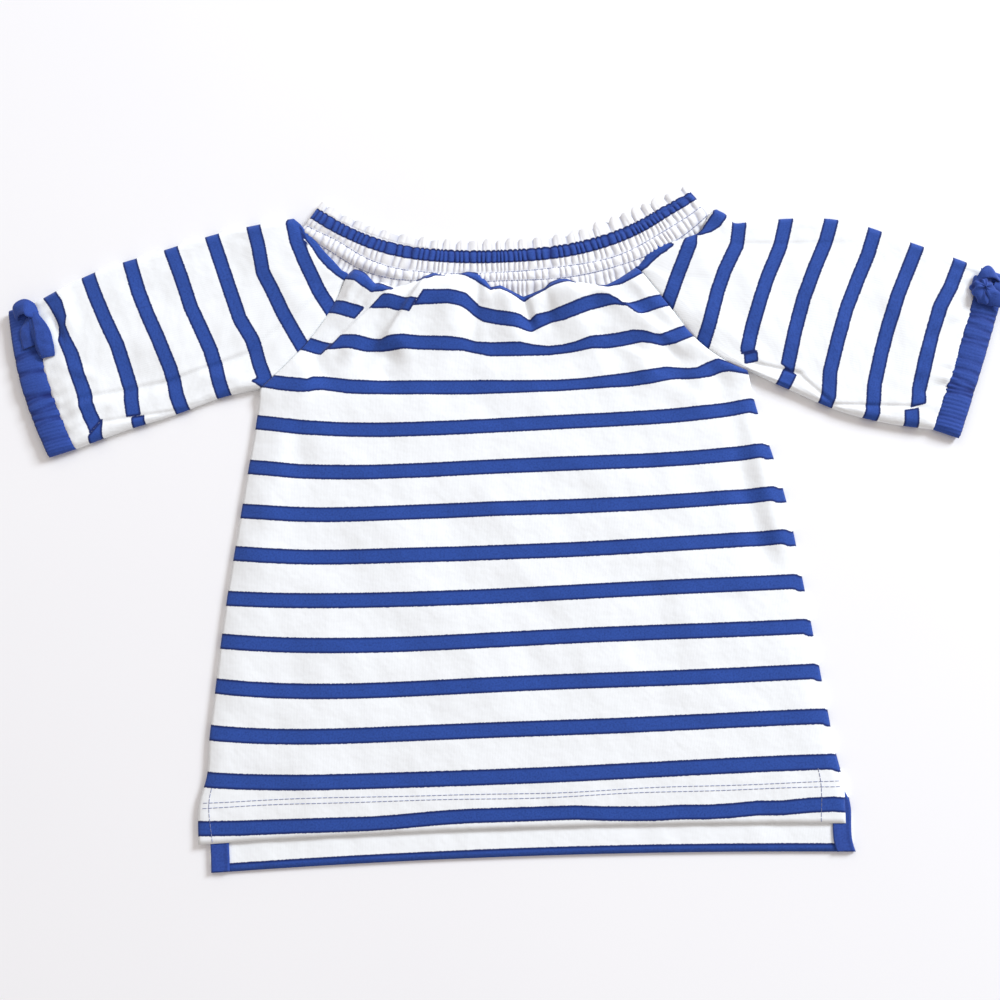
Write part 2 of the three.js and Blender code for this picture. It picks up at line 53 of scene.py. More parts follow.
band_lowest = 139.5  # y of the neck band's lowest point
plan_origin = np.array([
    (band_low.x + band_high.x) / 2 - neck_middle / 1000,
    band_low.y - band_lowest / 1000,
    0,
])


def to_frame(points):
    """Plan millimetres to the frame's metres: divided by a thousand and moved by the plan's origin."""
    return np.asarray(points, float) / 1000 + plan_origin


camera_distance = 660  # from the focus, the place that the camera looks at
camera_tilt = math.radians(9)
camera_turn = math.radians(-2.5)
camera_focus = np.array([-6, 7, 0])
camera_back = np.array([
    math.sin(camera_turn) * math.sin(camera_tilt),
    -math.cos(camera_turn) * math.sin(camera_tilt),
    math.cos(camera_tilt),
])
camera_data = bpy.data.cameras.new("camera")
camera_data.lens = 39.6
camera_data.sensor_width = 36
camera = bpy.data.objects.new("camera", camera_data)
camera.location = to_frame(camera_focus + camera_distance * camera_back)
camera.rotation_euler = (camera_tilt, 0, camera_turn)
bpy.context.scene.collection.objects.link(camera)
bpy.context.scene.camera = camera


# The room. The top lies on a plain white board under soft daylight from the upper right, which
# leaves faint warm shadows to the left of the cloth.
def srgb(code):
    """A hex colour to linear light: each channel to a share, then the sRGB curve undone."""
    share = np.array([int(code[i:i + 2], 16) for i in (1, 3, 5)]) / 255
    linear = np.where(share <= 0.04045, share / 12.92, ((share + 0.055) / 1.055) ** 2.4)
    return (*linear.tolist(), 1.0)


def new_material(name, roughness, sheen):
    """A material of one Principled shader, with its plain values on the shader's own sockets."""
    material = bpy.data.materials.new(name)
    material.use_nodes = True
    shader = material.node_tree.nodes["Principled BSDF"]
    shader.inputs["Roughness"].default_value = roughness
    shader.inputs["Sheen Weight"].default_value = sheen
    shader.inputs["Sheen Roughness"].default_value = 0.5
    shader.inputs["Specular IOR Level"].default_value = 0.25
    return material, shader


def add_node(material, kind, settings, inputs):
    """Adds a node: settings are its own properties, inputs are values or the sockets that feed it."""
    node = material.node_tree.nodes.new(kind)
    for name, value in settings.items():
        setattr(node, name, value)
    for name, value in inputs.items():
        if isinstance(value, bpy.types.NodeSocket):
            material.node_tree.links.new(value, node.inputs[name])
        else:
            node.inputs[name].default_value = value
    return node


def cloud_colour(material, shader, scale, detail, one, other):
    """Gives a shader a colour that drifts between two by a noise in the object's own space."""
    place = add_node(material, "ShaderNodeTexCoord", {}, {})
    cloud = add_node(material, "ShaderNodeTexNoise", {}, {
        "Vector": place.outputs["Object"], "Scale": scale, "Detail": detail,
    })
    colour = add_node(material, "ShaderNodeMix", {"data_type": "RGBA"}, {
        "Factor": cloud.outputs["Fac"], "A": srgb(one), "B": srgb(other),
    })
    material.node_tree.links.new(colour.outputs["Result"], shader.inputs["Base Color"])


# The board has a matt white face whose white clouds a little from place to place.
floor_size = 6.0
floor_drop = 0.0004
bpy.ops.mesh.primitive_plane_add(size=floor_size, location=(0, 0, -floor_drop))
floor = bpy.context.object
floor.name = "floor"
board, board_shader = new_material("matt_white_board", 0.7, 0)
cloud_colour(board, board_shader, 4.0, 2.0, "#f6f7f9", "#fafbfc")
floor.data.materials.append(board)

world = bpy.data.worlds.new("soft_daylight")
world.use_nodes = True
sky = world.node_tree.nodes["Background"]
sky.inputs["Color"].default_value = srgb("#fcf2ed")
sky.inputs["Strength"].default_value = 0.55
bpy.context.scene.world = world
bpy.context.scene.view_settings.view_transform = "Standard"


def add_window(name, place, power, size, tint):
    """A square soft light at a place in metres, turned to face the middle of the garment."""
    data = bpy.data.lights.new(name, "AREA")
    data.energy = power
    data.size = size
    data.color = srgb(tint)[:3]
    light = bpy.data.objects.new(name, data)
    light.location = place
    x, y, z = place
    light.rotation_euler = (math.atan2(math.hypot(x, y), z), 0, math.atan2(y, x) + math.pi / 2)
    bpy.context.scene.collection.objects.link(light)


add_window("window", (2.9, 2.1, 1.95), 171, 1.3, "#eff6ff")
add_window("far_window", (-0.3, 1.9, 1.5), 9, 1.2, "#f6f8ff")


# Cloth in general. The top is cut from yarn-dyed cotton jersey, white with navy stripes about 8 mm
# wide and 25.7 mm apart, and each piece is a thin closed shell with its own rows of stitches.
jersey_thickness = 0.9
stripe_half = 4.1  # half of a stripe's usual width
plain_white = 9.0  # stripe value of cloth that is this far, in mm, or farther outside a stripe
plain_navy = -9.0  # the same for navy cloth
sides = ("left", "right")
outward = {"left": -1, "right": 1}  # the sign of x away from the body


def smooth(start, end, value):
    """0 before start and 1 after end, with the cubic 3t^2 - 2t^3 between."""
    t = np.clip((value - start) / (end - start), 0, 1)
    return t * t * (3 - 2 * t)


def read_curve(rows, column, at):
    """A smooth curve through a table's rows: cubic between rows, its slope at a row taken from the
    neighbours."""
    key = np.array([row[0] for row in rows], float)
    value = np.array([row[column] for row in rows], float)
    slope = np.gradient(value, key)
    at = np.clip(at, key[0], key[-1])
    i = np.clip(np.searchsorted(key, at) - 1, 0, len(key) - 2)
    step = key[i + 1] - key[i]
    t = (at - key[i]) / step
    blend = t * t * (3 - 2 * t)
    pull = t * (1 - t) ** 2 * slope[i] - t * t * (1 - t) * slope[i + 1]
    return value[i] * (1 - blend) + value[i + 1] * blend + pull * step


def read_points(rows, columns, at):
    """Points whose places are read from several columns of a table."""
    return np.stack([read_curve(rows, column, at) for column in columns], axis=-1)


def mix(a, b, share):
    """A point of the straight line from a to b, with the points along the last axis."""
    share = np.asarray(share)[..., None]
    return np.asarray(a, float) * (1 - share) + np.asarray(b, float) * share


def waves(x, y, length, seed):
    """Uneven soft waves between about -1 and 1: seven sine waves of random direction and of about
    the given length, added up."""
    random = np.random.default_rng(seed)
    total = np.zeros(np.broadcast(x, y).shape)
    for _ in range(7):
        turn, phase = random.uniform(0, 2 * math.pi, 2)
        size = length * random.uniform(0.7, 1.6)
        total += np.sin(2 * math.pi * (x * math.cos(turn) + y * math.sin(turn)) / size + phase)
    return total / 4


def add_piece(name, points, faces, material):
    """A smooth piece of the given plan points and faces, in the collection."""
    mesh = bpy.data.meshes.new(name)
    mesh.from_pydata(to_frame(points.reshape(-1, 3)).tolist(), [], faces)
    mesh.polygons.foreach_set("use_smooth", np.ones(len(mesh.polygons), bool))
    mesh.materials.append(material)
    piece = bpy.data.objects.new(name, mesh)
    bpy.context.scene.collection.objects.link(piece)
    return piece


def add_shell(
    name, points, material, flat_places,
    thickness=jersey_thickness, ring=False, stripe=plain_white, painted_shade=0.0,
):
    """A shell over a grid of plan points. Rows run along the first axis, points of a row along the
    second, which closes on itself where ring is set. flat_places are the same points on the flat
    cloth, in mm, kept as the UV map in cm. stripe, and the painted shade of grooves and creases, are
    kept as numbers at the points."""
    rows, columns = points.shape[:2]
    index = np.arange(rows * columns).reshape(rows, columns)
    following = np.roll(index, -1, axis=1) if ring else index[:, 1:]
    here = index if ring else index[:, :-1]
    quads = np.stack([here[:-1], here[1:], following[1:], following[:-1]], axis=-1).reshape(-1, 4)
    piece = add_piece(name, points, quads.tolist(), material)
    mesh = piece.data
    for key, value in (("stripe", stripe), ("painted_shade", painted_shade)):
        value = np.broadcast_to(value, (rows, columns)).ravel().astype(np.float32)
        mesh.attributes.new(key, "FLOAT", "POINT").data.foreach_set("value", value)
    corners = np.empty(len(mesh.loops), np.int32)
    mesh.loops.foreach_get("vertex_index", corners)
    cloth = mesh.uv_layers.new(name="cloth")
    cloth.data.foreach_set("uv", (flat_places.reshape(-1, 2)[corners] / 10).ravel().astype(np.float32))
    wall = piece.modifiers.new("thickness", "SOLIDIFY")
    wall.thickness = thickness / 1000
    wall.offset = -1
    return piece


def jersey_finish(name, white, navy, navy_shade, roughness):
    """Cotton jersey: the stripe value turns white to navy over a third of a millimetre with an edge as
    uneven as the yarns, navy is flecked and darker in its last millimetre, painted shade darkens the
    colour towards a bluish grey in grooves and creases, and fine ribs of stitches and soft crumples
    raise the surface."""
    material, shader = new_material(name, roughness, 0.12)
    link = material.node_tree.links.new
    stripe = add_node(material, "ShaderNodeAttribute", {"attribute_name": "stripe"}, {})
    painted_shade = add_node(material, "ShaderNodeAttribute", {"attribute_name": "painted_shade"}, {})
    cloth = add_node(material, "ShaderNodeUVMap", {"uv_map": "cloth"}, {})
    yarn = add_node(material, "ShaderNodeTexNoise", {}, {
        "Vector": cloth.outputs["UV"], "Scale": 9.0, "Detail": 2.0, "Roughness": 0.6,
    })
    uneven = add_node(material, "ShaderNodeMath", {"operation": "MULTIPLY_ADD"}, {
        0: yarn.outputs["Fac"], 1: 0.9, 2: stripe.outputs["Fac"],
    })
    dyed = add_node(material, "ShaderNodeMapRange", {}, {
        "Value": uneven.outputs[0], "From Min": 0.7, "From Max": 1.05, "To Min": 1.0, "To Max": 0.0,
    })
    edge = add_node(material, "ShaderNodeMapRange", {}, {
        "Value": stripe.outputs["Fac"], "From Min": -1.3, "From Max": -0.3, "To Min": 0.0, "To Max": 1.0,
    })
    fleck = add_node(material, "ShaderNodeMapRange", {}, {
        "Value": yarn.outputs["Fac"], "From Min": 0.42, "From Max": 0.7, "To Min": 0.0, "To Max": 0.4,
    })
    deep = add_node(material, "ShaderNodeMath", {"operation": "MAXIMUM"}, {
        0: edge.outputs[0], 1: fleck.outputs[0],
    })
    navy_mix = add_node(material, "ShaderNodeMix", {"data_type": "RGBA"}, {
        "Factor": deep.outputs[0], "A": srgb(navy), "B": srgb(navy_shade),
    })
    colour = add_node(material, "ShaderNodeMix", {"data_type": "RGBA"}, {
        "Factor": dyed.outputs[0], "A": srgb(white), "B": navy_mix.outputs["Result"],
    })
    # Painted shade: the colour multiplied by a bluish grey as far as the shade value at the points asks,
    # where grooves and creases would lie in shade.
    painted_hollow_shade = add_node(material, "ShaderNodeMix", {"data_type": "RGBA", "blend_type": "MULTIPLY"}, {
        "Factor": painted_shade.outputs["Fac"], "A": colour.outputs["Result"], "B": srgb("#8f93b4"),
    })
    link(painted_hollow_shade.outputs["Result"], shader.inputs["Base Color"])
    wales = add_node(material, "ShaderNodeTexWave", {"bands_direction": "X"}, {
        "Vector": cloth.outputs["UV"], "Scale": 3.5, "Distortion": 1.2, "Detail": 2.0, "Detail Scale": 2.0,
    })
    crumple = add_node(material, "ShaderNodeTexNoise", {}, {
        "Vector": cloth.outputs["UV"], "Scale": 0.55, "Detail": 3.0, "Roughness": 0.5,
    })
    soft_bump = add_node(material, "ShaderNodeBump", {}, {
        "Strength": 0.5, "Distance": 0.0022, "Height": crumple.outputs["Fac"],
    })
    stitch_bump = add_node(material, "ShaderNodeBump", {}, {
        "Strength": 0.1, "Distance": 0.0002, "Height": wales.outputs["Fac"],
        "Normal": soft_bump.outputs["Normal"],
    })
    link(stitch_bump.outputs["Normal"], shader.inputs["Normal"])
    return material


# Stripes are drawn as distances to given centre lines. Wales are 0.7 mm apart in such a jersey
# and are drawn 0.9 mm apart, so that they show.
jersey = jersey_finish("striped_cotton_jersey", "#f5f9fb", "#2d50a3", "#122766", 0.9)


def line_distance(x, y, line):
    """Distance from each point to a centre line, less the line's half width there. A row of the line
    is a place and, where it isn't the usual one, a half width."""
    rows = np.array([row if len(row) == 3 else (*row, stripe_half) for row in line], float)
    best = np.full(np.shape(x), np.inf)
    for (x0, y0, half0), (x1, y1, half1) in zip(rows[:-1], rows[1:]):
        run = np.array([x1 - x0, y1 - y0])
        share = np.clip(((x - x0) * run[0] + (y - y0) * run[1]) / (run @ run), 0, 1)
        gap = np.hypot(x - x0 - share * run[0], y - y0 - share * run[1])
        best = np.minimum(best, gap - (half0 + (half1 - half0) * share))
    return best


def stripe_distance(x, y, stripes):
    """Distance to the nearest stripe's edge, negative inside. A stripe may be cut off by straight
    lines, each from one place to another, which keep what lies to their left."""
    best = np.full(np.shape(x), plain_white)
    for stripe in stripes:
        inside = line_distance(x, y, stripe["line"])
        for (x0, y0), (x1, y1) in stripe.get("cuts", ()):
            beyond = ((x - x0) * (y1 - y0) - (y - y0) * (x1 - x0)) / math.hypot(x1 - x0, y1 - y0)
            inside = np.maximum(inside, beyond)
        best = np.minimum(best, inside)
    return best


def add_folds(x, y, folds):
    """Height of soft folds laid over the cloth. Each fold is a ridge, or a trough where its height is
    negative, along a straight line: a bell curve across, steeper on one side, that fades at both ends
    and may spread towards its end. A row gives the line's start and end, the bell's width to its left
    and right, the height, the length of the fades, and the share by which the fold spreads."""
    total = np.zeros(np.shape(x))
    for x0, y0, x1, y1, left, right, height, fade, spread in folds:
        length = math.hypot(x1 - x0, y1 - y0)
        along = ((x - x0) * (x1 - x0) + (y - y0) * (y1 - y0)) / length
        across = ((x - x0) * (y1 - y0) - (y - y0) * (x1 - x0)) / length
        width = np.where(across < 0, left, right) * (1 + spread * np.clip(along / length, 0, 1))
        shown = smooth(-fade, fade, along) * smooth(-fade, fade, length - along)
        total += height * np.exp(-((across / width) ** 2)) * shown
    return total


# The body. Front and back are cut alike, with raglan armholes, and are sewn together down the sides.
# The front's upper edge is gathered into the neck band and puffs over it here and there.
underarm = {"left": (-148, 81.5), "right": (147.5, 79.5)}
raglan_start = {"left": (-93.1, 151.7), "right": (83.7, 148.2)}
raglan_bow = {"left": (5.6, 0.9), "right": (7.4, 1.7)}  # depth, and skew towards the underarm
front_sides = [  # below the underarm, left half width, right half width
    (0, 148, 147.5), (27, 152, 152.5), (52, 156.5, 159), (78, 161, 164.5), (131, 170, 171), (184, 177, 176.5),
    (208, 180, 179), (230, 181.8, 181.2), (241, 185.4, 183.6), (266, 186.4, 183.2),
]
back_sides = front_sides[:6] + [
    (208, 178.5, 178.5), (240, 180, 184), (254, 180.2, 187), (278, 179.4, 186.8), (284, 179.4, 188.4),
]
front_length = 266
back_length = 282
hem_tilt = 2.2  # how much lower the hem is on the right
hem_arch = 3.2  # how much higher the hem is in its middle
gather_line = [  # the edge where the body and the sleeve heads meet the band
    (-121, 181.5), (-118, 178.5), (-113, 173.5), (-107, 165.4), (-102, 159.8), (-97, 153.4), (-93.5, 151.6),
    (-89.5, 154.4), (-83.5, 152.4), (-77, 144.4), (-72.5, 144.8), (-66, 141.3), (-58, 142.4), (-50.5, 145.6),
    (-46, 148.4), (-40.5, 149.6), (-34, 147.8), (-27, 147.8), (-20, 149.4), (-14, 148.6), (-9, 143.6),
    (-6, 138.8), (0, 139.8), (6, 136.4), (13.7, 131.8), (20, 134), (27, 136.8), (30.5, 140.4), (36, 142.4),
    (41, 142.2), (46, 140), (53, 138.8), (60, 137.4), (65, 137.1), (72.5, 140.6), (79, 144.6), (87.5, 150.6),
    (91, 155.6), (97.5, 161.2), (105, 162.4), (115, 165), (123, 167.5), (126, 170),
]


def gather_edge(x):
    """The gathered edge's y at x, straight between the table's rows."""
    return np.interp(x, [row[0] for row in gather_line], [row[1] for row in gather_line])


def raglan_point(side, down):
    """The raglan seam: a straight line from the neck, at 0, to the underarm, at 1, bowed towards the
    body by half a sine wave that the skew pushes downwards."""
    start, end = np.array(raglan_start[side], float), np.array(underarm[side], float)
    depth, skew = raglan_bow[side]
    run = end - start
    bow = depth * np.sin(math.pi * np.asarray(down) ** skew) / np.hypot(*run)
    return mix(start, end, down) + bow[..., None] * outward[side] * np.array([run[1], -run[0]])


def side_point(half_widths, side, below):
    """A panel's side edge: half widths from its table, and heights straight down from the underarm,
    with the hem's tilt growing in along the right side."""
    half = read_curve(half_widths, 1 if side == "left" else 2, below)
    tilt = hem_tilt * below / front_length if side == "right" else 0
    return np.stack([outward[side] * half, underarm[side][1] - below - tilt], axis=-1)


row_crowding = 1.15  # power that brings the rows closer together at the neck
bend_fade = 1.6  # power by which the gathered edge's bend fades down the raglan seam


def body_plan(half_widths, length, raglan_rows, side_rows, columns):
    """Plan points of a body panel, row by row. Each row is straight between its ends. The top row
    follows the gathered edge, and that bend fades towards the underarm, as the hem's arch fades upwards.
    Also gives each point's distance below the underarm."""
    down = np.linspace(0, 1, raglan_rows + 1) ** row_crowding
    below = np.linspace(0, length, side_rows + 1)[1:]
    left, right = (
        np.concatenate([raglan_point(side, down), side_point(half_widths, side, below)]) for side in sides
    )
    share = np.linspace(0, 1, columns + 1)
    plan = mix(left[:, None, :], right[:, None, :], np.broadcast_to(share, (len(left), len(share))))
    chord = mix(raglan_start["left"], raglan_start["right"], share)
    bend = gather_edge(chord[:, 0]) - chord[:, 1]
    kept = np.concatenate([(1 - down) ** bend_fade, np.zeros(len(below))])
    plan[..., 1] += kept[:, None] * bend
    depth = np.concatenate([np.zeros(len(down)), below])
    arch = hem_arch * (depth / front_length) ** 2
    plan[..., 1] += arch[:, None] * 4 * share * (1 - share)
    return plan, np.broadcast_to(depth[:, None], plan.shape[:2])


# Body stripes. The lower ones run straight across and lift a little towards the sides. The upper four
# are broken by the tucks, so each unbroken stretch is a line of its own, cut off where a tuck hides it.
lower_stripes = [  # the middle's height, and how far the left and the right end lift above it
    (51.8, 8.7, 7), (26.3, 7, 3.7), (0.8, 6.3, 2.3), (-24.9, 6.8, 1.9), (-50.4, 5.4, 0.9), (-76.2, 6, 0.3),
    (-102.3, 6.6, -0.2), (-128, 6.2, -0.7), (-154, 6, -0.2),
]
hem_stripe = {"line": [
    (-192, -175.4, 3.9), (-163, -176.3, 3.9), (-134, -176.5, 3.8), (-104, -176.9, 3.8), (-89, -177.1, 3.7),
    (-74.5, -176.8, 3.7), (-60, -176.1, 3.7), (-45, -175.5, 3.7), (-30, -175.3, 3.7), (0, -175.7, 3.7),
    (29, -176, 3.7), (44, -177.2, 3.7), (59, -178, 3.8), (74, -178.6, 3.8), (89, -178.4, 3.8),
    (104, -179, 3.8), (118, -178.9, 3.8), (133, -178.1, 3.8), (148, -178.6, 3.8), (163, -177.8, 3.9),
    (177, -177.8, 3.9), (190, -179.4, 3.9),
]}


def straight_stripes(right_hook):
    """Lines of the lower stripes, from side to side. A stripe lifts at each side with the fourth power
    of its distance from the middle, and wavers by a small sine wave of its own. right_hook turns its
    right end down, where the edge has rolled."""
    share = np.concatenate([np.linspace(-1.15, 0.9, 24), [0.974, 0.989, 1.15]])
    hook = np.where(share > 0.98, right_hook, 0)
    stripes = []
    for number, (middle, left_lift, right_lift) in enumerate(lower_stripes):
        half_width = read_curve(front_sides, 1, underarm["left"][1] - middle)
        lift = np.where(share < 0, left_lift, right_lift) * share ** 4
        ripple = 0.35 * np.sin(5 * share + 1.3 * number)
        stripes.append({"line": list(zip(share * half_width, middle + lift - hook + ripple))})
    return stripes


upper_stripes = [
    {"line": [
        (-97, 152.8), (-93, 150.6, 3.4), (-88, 149.7), (-83, 146.3), (-78, 141.8, 3.6),
        (-73.8, 141.1, 2.6), (-67, 140, 1),
    ]},
    {"line": [(-51, 145, 0.4), (-45, 146.2, 1.6), (-40, 148.6, 1.8), (-34.5, 147.7, 0.5)]},
    {"line": [
        (-25, 148.4, 0.3), (-19, 147.4, 2.2), (-13, 144.8, 2.7), (-8.5, 140.8, 2.4), (-6, 137.4, 1),
    ]},
    {"line": [
        (-5, 138, 0.9), (0, 138.6, 1.9), (5.5, 135.6, 1.6), (10, 132.6, 1.5), (14, 130.6, 1.8),
        (20, 133, 1.2), (27, 136.2, 0.9), (32, 139.2, 1.6), (37, 141, 2.1), (42, 141, 1.5),
        (46, 139.6, 0.3),
    ]},
    {"line": [
        (60, 137.4, 0.3), (66, 136.9, 1.3), (73.5, 139.3, 2.5), (80, 142.4, 2.9), (87.4, 147.4, 3.4),
        (94, 154, 3.4),
    ]},
    {"line": [(-108, 132), (-96.5, 129), (-84, 125)], "cuts": [((-90.2, 122.4), (-84.5, 128.6))]},
    {"line": [
        (-84, 132.5), (-68, 131.6), (-62, 129.8), (-50, 127),
    ], "cuts": [((-73.6, 135), (-79.6, 128.9)), ((-56.5, 123.8), (-51.7, 130.9))]},
    {"line": [
        (-56, 131.6), (-47.5, 132.4), (-40.5, 132.6), (-32.5, 132.4), (-23, 130.4), (-18.5, 127, 3.4),
        (-15, 123.6, 3.2), (-10, 120.8), (-4, 119), (3, 117.4), (10, 116), (17.3, 112.6, 3.2),
        (22.5, 115.8), (29.5, 118, 3.4), (36.5, 119.2), (45, 121.8), (52.5, 124.6), (58.5, 126),
        (64.5, 126.3, 3.3), (69.5, 125.3, 1.9), (75, 122.6, 0.2),
    ], "cuts": [((-47.5, 135.7), (-52.3, 128.8))]},
    {"line": [
        (74, 122, 2), (78.5, 121.4, 3), (84, 121.6), (91, 123.5), (99, 125.6), (110, 129),
    ], "cuts": [((75.9, 122.8), (82.7, 117.5))]},
    {"line": [
        (-128, 110), (-120, 108), (-111, 105), (-104, 103),
    ], "cuts": [((-111, 100.7), (-104.5, 106.7))]},
    {"line": [
        (-108, 107.6), (-97, 108), (-92, 107.6), (-84, 106), (-74, 104.6, 3.6), (-68, 105.4),
        (-60.5, 106), (-48.5, 105), (-33.5, 103.8), (-24, 103, 3.6), (-17, 101, 3.4), (-8, 99.2),
        (2, 98.8), (10, 98.6), (18.5, 97.6, 3.2), (27.5, 96.8, 2.6), (36.5, 97.4, 2.5),
        (44.5, 98.6, 2.8), (54, 100.8, 3.5), (63, 101.2), (71.5, 102), (79.5, 103.2), (84.5, 103.2, 3.4),
        (91.5, 101.4, 2.8), (96.5, 100.6, 3), (104, 102.4), (120, 108),
    ], "cuts": [((-98, 113), (-106, 104.6))]},
    {"line": [
        (-150, 87), (-136, 83.6), (-124, 81.6), (-119, 81.2, 3.6), (-115, 82.5), (-110, 82.6),
        (-104, 81.6), (-94.5, 79.8), (-84.5, 79), (-59.5, 77.6), (-19, 76), (15, 75, 3.5),
        (31.5, 74.9, 3.3), (47.5, 75.3, 3.3), (61.5, 76, 3.6), (76, 76.6), (88, 77.6), (98.5, 79.4),
        (104.5, 79.4, 3.5), (111.5, 78.6, 3.2), (117.5, 78.6, 3.3), (123.5, 80.4), (130, 82.8),
        (136, 82, 2.8), (150, 78, 1.4),
    ]},
]

# Tucks and puffs of the front: ridges that run down from the neck, steep on the side where one stretch
# of cloth lies over the next, and shallow drapes lower down.
front_folds = [  # start x and y, end x and y, widths to left and right, height, fade, spread
    (-64, 142, -112, 98, 9, 1.7, 3.4, 9, 0.5),
    (-67, 138, -108, 98, 3, 5, -1.7, 12, 0.6),
    (-45, 146, -73, 106, 8, 1.6, 4.0, 8, 0.8),
    (-30, 146, -30, 104, 13, 15, 3.6, 14, 0.3),
    (-13, 147, -20, 100, 3.2, 6, -1.8, 10, 0.8),
    (2, 138, 8, 104, 7, 7, 2, 10, 0.4),
    (13.5, 134, 18, 110, 2, 3.2, -2.6, 6, 0.8),
    (42, 141, 50, 104, 12, 13, 3.4, 12, 0.3),
    (27, 137, 30, 112, 3, 4, -1.2, 7, 0.6),
    (58, 138, 98, 104, 2.0, 8, 3.0, 9, 0.5),
    (80, 140, 106, 112, 4, 4, 1.2, 8, 0.4),
    (-86, 150, -104, 122, 3.5, 3, 1.2, 7, 0.5),
    (-74, 122, -88, 94, 7, 4, -2.2, 11, 0.4),
    (-66, 102, -78, 82, 8, 4.5, -2.6, 9, 0.3),
    (-118, 98, -128, 62, 5, 8, 1.3, 12, 0.6),
    (58, 104, 78, 88, 6, 7, -2.3, 9, 0.3),
    (96, 100, 112, 84, 4.5, 5, -2.6, 9, 0.3),
    (56, 104, 92, 84, 3.5, 8, 1.6, 9, 0.4),
    (86, 82, 124, 56, 4, 9, 1.5, 10, 0.4),
    (112, 102, 142, 78, 3.5, 7, 1.8, 7, 0.3),
    (-84, 151, -95, 136, 2, 1.2, 0.9, 3, 0.6),
    (-78, 147, -90, 131, 2, 1.2, 0.8, 3, 0.6),
    (-72, 144, -83, 131, 2, 1.2, 0.8, 3, 0.6),
    (-97, 122, -120, 100, 8, 4, -2, 8, 0.4),
    (104, 98, 122, 68, 6, 5, 1.9, 12, 0.5),
    (128, 80, 133, 56, 8, 6, -2.6, 10, 0.4),
    (134, 52, 149, -38, 11, 7, -2.7, 14, 0.1),
    (145, 56, 161, -38, 6, 6, 1.6, 14, 0.1),
    (-126, 56, -128, 26, 8, 6, -1.5, 12, 0.3),
    (-98, 100, -110, 84, 7, 5, -2.1, 7, 0.3),
    (126, 76, 138, 20, 8, 5, 1.2, 16, 0.4),
    (-136, 60, -150, -30, 8, 12, 1, 22, 0.4),
    (-108, -40, -126, -170, 10, 14, 0.8, 30, 0.3),
    (96, 20, 104, -110, 14, 10, 0.7, 30, 0.4),
    (-60, 40, -52, -120, 16, 12, 0.5, 40, 0.4),
]

cloth_loft = 5.0  # height of the front's upper face in the middle of the body
rest_height = 2.5  # its height at the edges, where the front lies on the back
side_slope = 7  # how far in from a side two thirds of the rise is done
hem_slope = 40  # the same for the hem
hem_drop = 0.9  # share of the drop that the hem has
seam_dip = 1.4  # how much lower the cloth lies at the raglan seam
lap_start, lap_end = -14, 7  # where it steps up onto the neck band, from the band's lower edge
lap_lift = 1.6
lap_length = 40  # how far below the gathered edge the step has died away
puff_height = 1.0
puff_length = 34
neck_roll = 2.6  # width of the rolled gathered edge
neck_drop = 1.6  # how much lower that edge lies


def front_height(plan, below):
    """Height of the front's upper face. It rises from its side edges and hem to the loft by one minus
    a falling exponential, dips at the raglan seams, steps up onto the neck band, rolls down at the
    gathered edge with a rippled puff beside it, and carries the tucks and soft waves."""
    x, y = plan[..., 0], plan[..., 1]
    width = plan[:, -1:, 0] - plan[:, :1, 0]
    share = np.linspace(0, 1, plan.shape[1])
    from_side = np.minimum(share, 1 - share) * width
    from_neck = np.clip(gather_edge(x) - y, 0, None)
    seam = seam_dip * np.exp(-from_side / 3) * (below == 0)
    at_side = np.exp(-from_side / side_slope) * np.clip(below / 12, 0, 1)
    at_hem = np.exp(-(front_length - below) / hem_slope)
    base = cloth_loft - (cloth_loft - rest_height) * np.maximum(at_side, hem_drop * at_hem) - seam
    overlap = smooth(lap_start, lap_end, y - band_lower_edge(x))
    lifted = base + lap_lift * overlap * smooth(lap_length, 4, from_neck)
    roll = np.exp(-((from_neck / neck_roll) ** 1.3))
    ripple = 1 + 0.3 * np.sin(x / 3.1) * smooth(12, 3, from_neck)
    puff = puff_height * smooth(0, 4, from_neck) * smooth(puff_length, 6, from_neck) * ripple
    folds = add_folds(x, y, front_folds) * (1 - at_side) * (1 - roll)
    soft = (0.55 * waves(x, y, 52, 3) + 0.2 * waves(x, y, 19, 4)) * smooth(0, 16, from_neck)
    return lifted - roll * (neck_drop + 0.2 * overlap) + puff + folds + soft * (1 - at_side) * (1 - at_hem)


neck_half = 118  # half width of the neck opening, to the band's folds
neck_low = 160.5  # y of the band's middle line at the middle of the neck
neck_rise = 34  # how much higher that line is at the folds
neck_power = 2.5  # power of the share of the half width by which it rises
end_squeeze = 0.25  # share by which the band is narrower at the folds
band_bottom = -32.5  # the band's lower edge, from its middle line


def neck_point(share, up):
    """A plan point of the neck: the middle line rises from the middle with a power of the share of the
    half width, and up moves the point square to that line, less near the ends."""
    share = np.asarray(share, float)
    x = neck_middle + neck_half * share
    y = neck_low + neck_rise * np.abs(share) ** neck_power
    slope = np.sign(share) * neck_rise * neck_power * np.abs(share) ** (neck_power - 1) / neck_half
    moved = up * (1 - end_squeeze * share ** 4) / np.hypot(1, slope)
    return np.stack([x - slope * moved, y + moved], axis=-1)


def band_lower_edge(x):
    """The y of the band's lower edge at x, read from points along it."""
    edge = neck_point(np.linspace(-1.05, 1.05, 90), band_bottom)
    return np.interp(x, edge[:, 0], edge[:, 1])


front_raglan_rows = 74  # rows of the front's grid above the underarm
front_plan, front_below = body_plan(
    front_sides, front_length, raglan_rows=front_raglan_rows, side_rows=92, columns=228,
)
front_points = np.dstack([front_plan, front_height(front_plan, front_below)])
front_stripes = upper_stripes + straight_stripes(right_hook=1.6) + [hem_stripe]
front = add_shell(
    "front_cloth", front_points, jersey, front_plan,
    stripe=stripe_distance(front_plan[..., 0], front_plan[..., 1], front_stripes),
)
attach(front, "root")
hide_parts("front_panel")

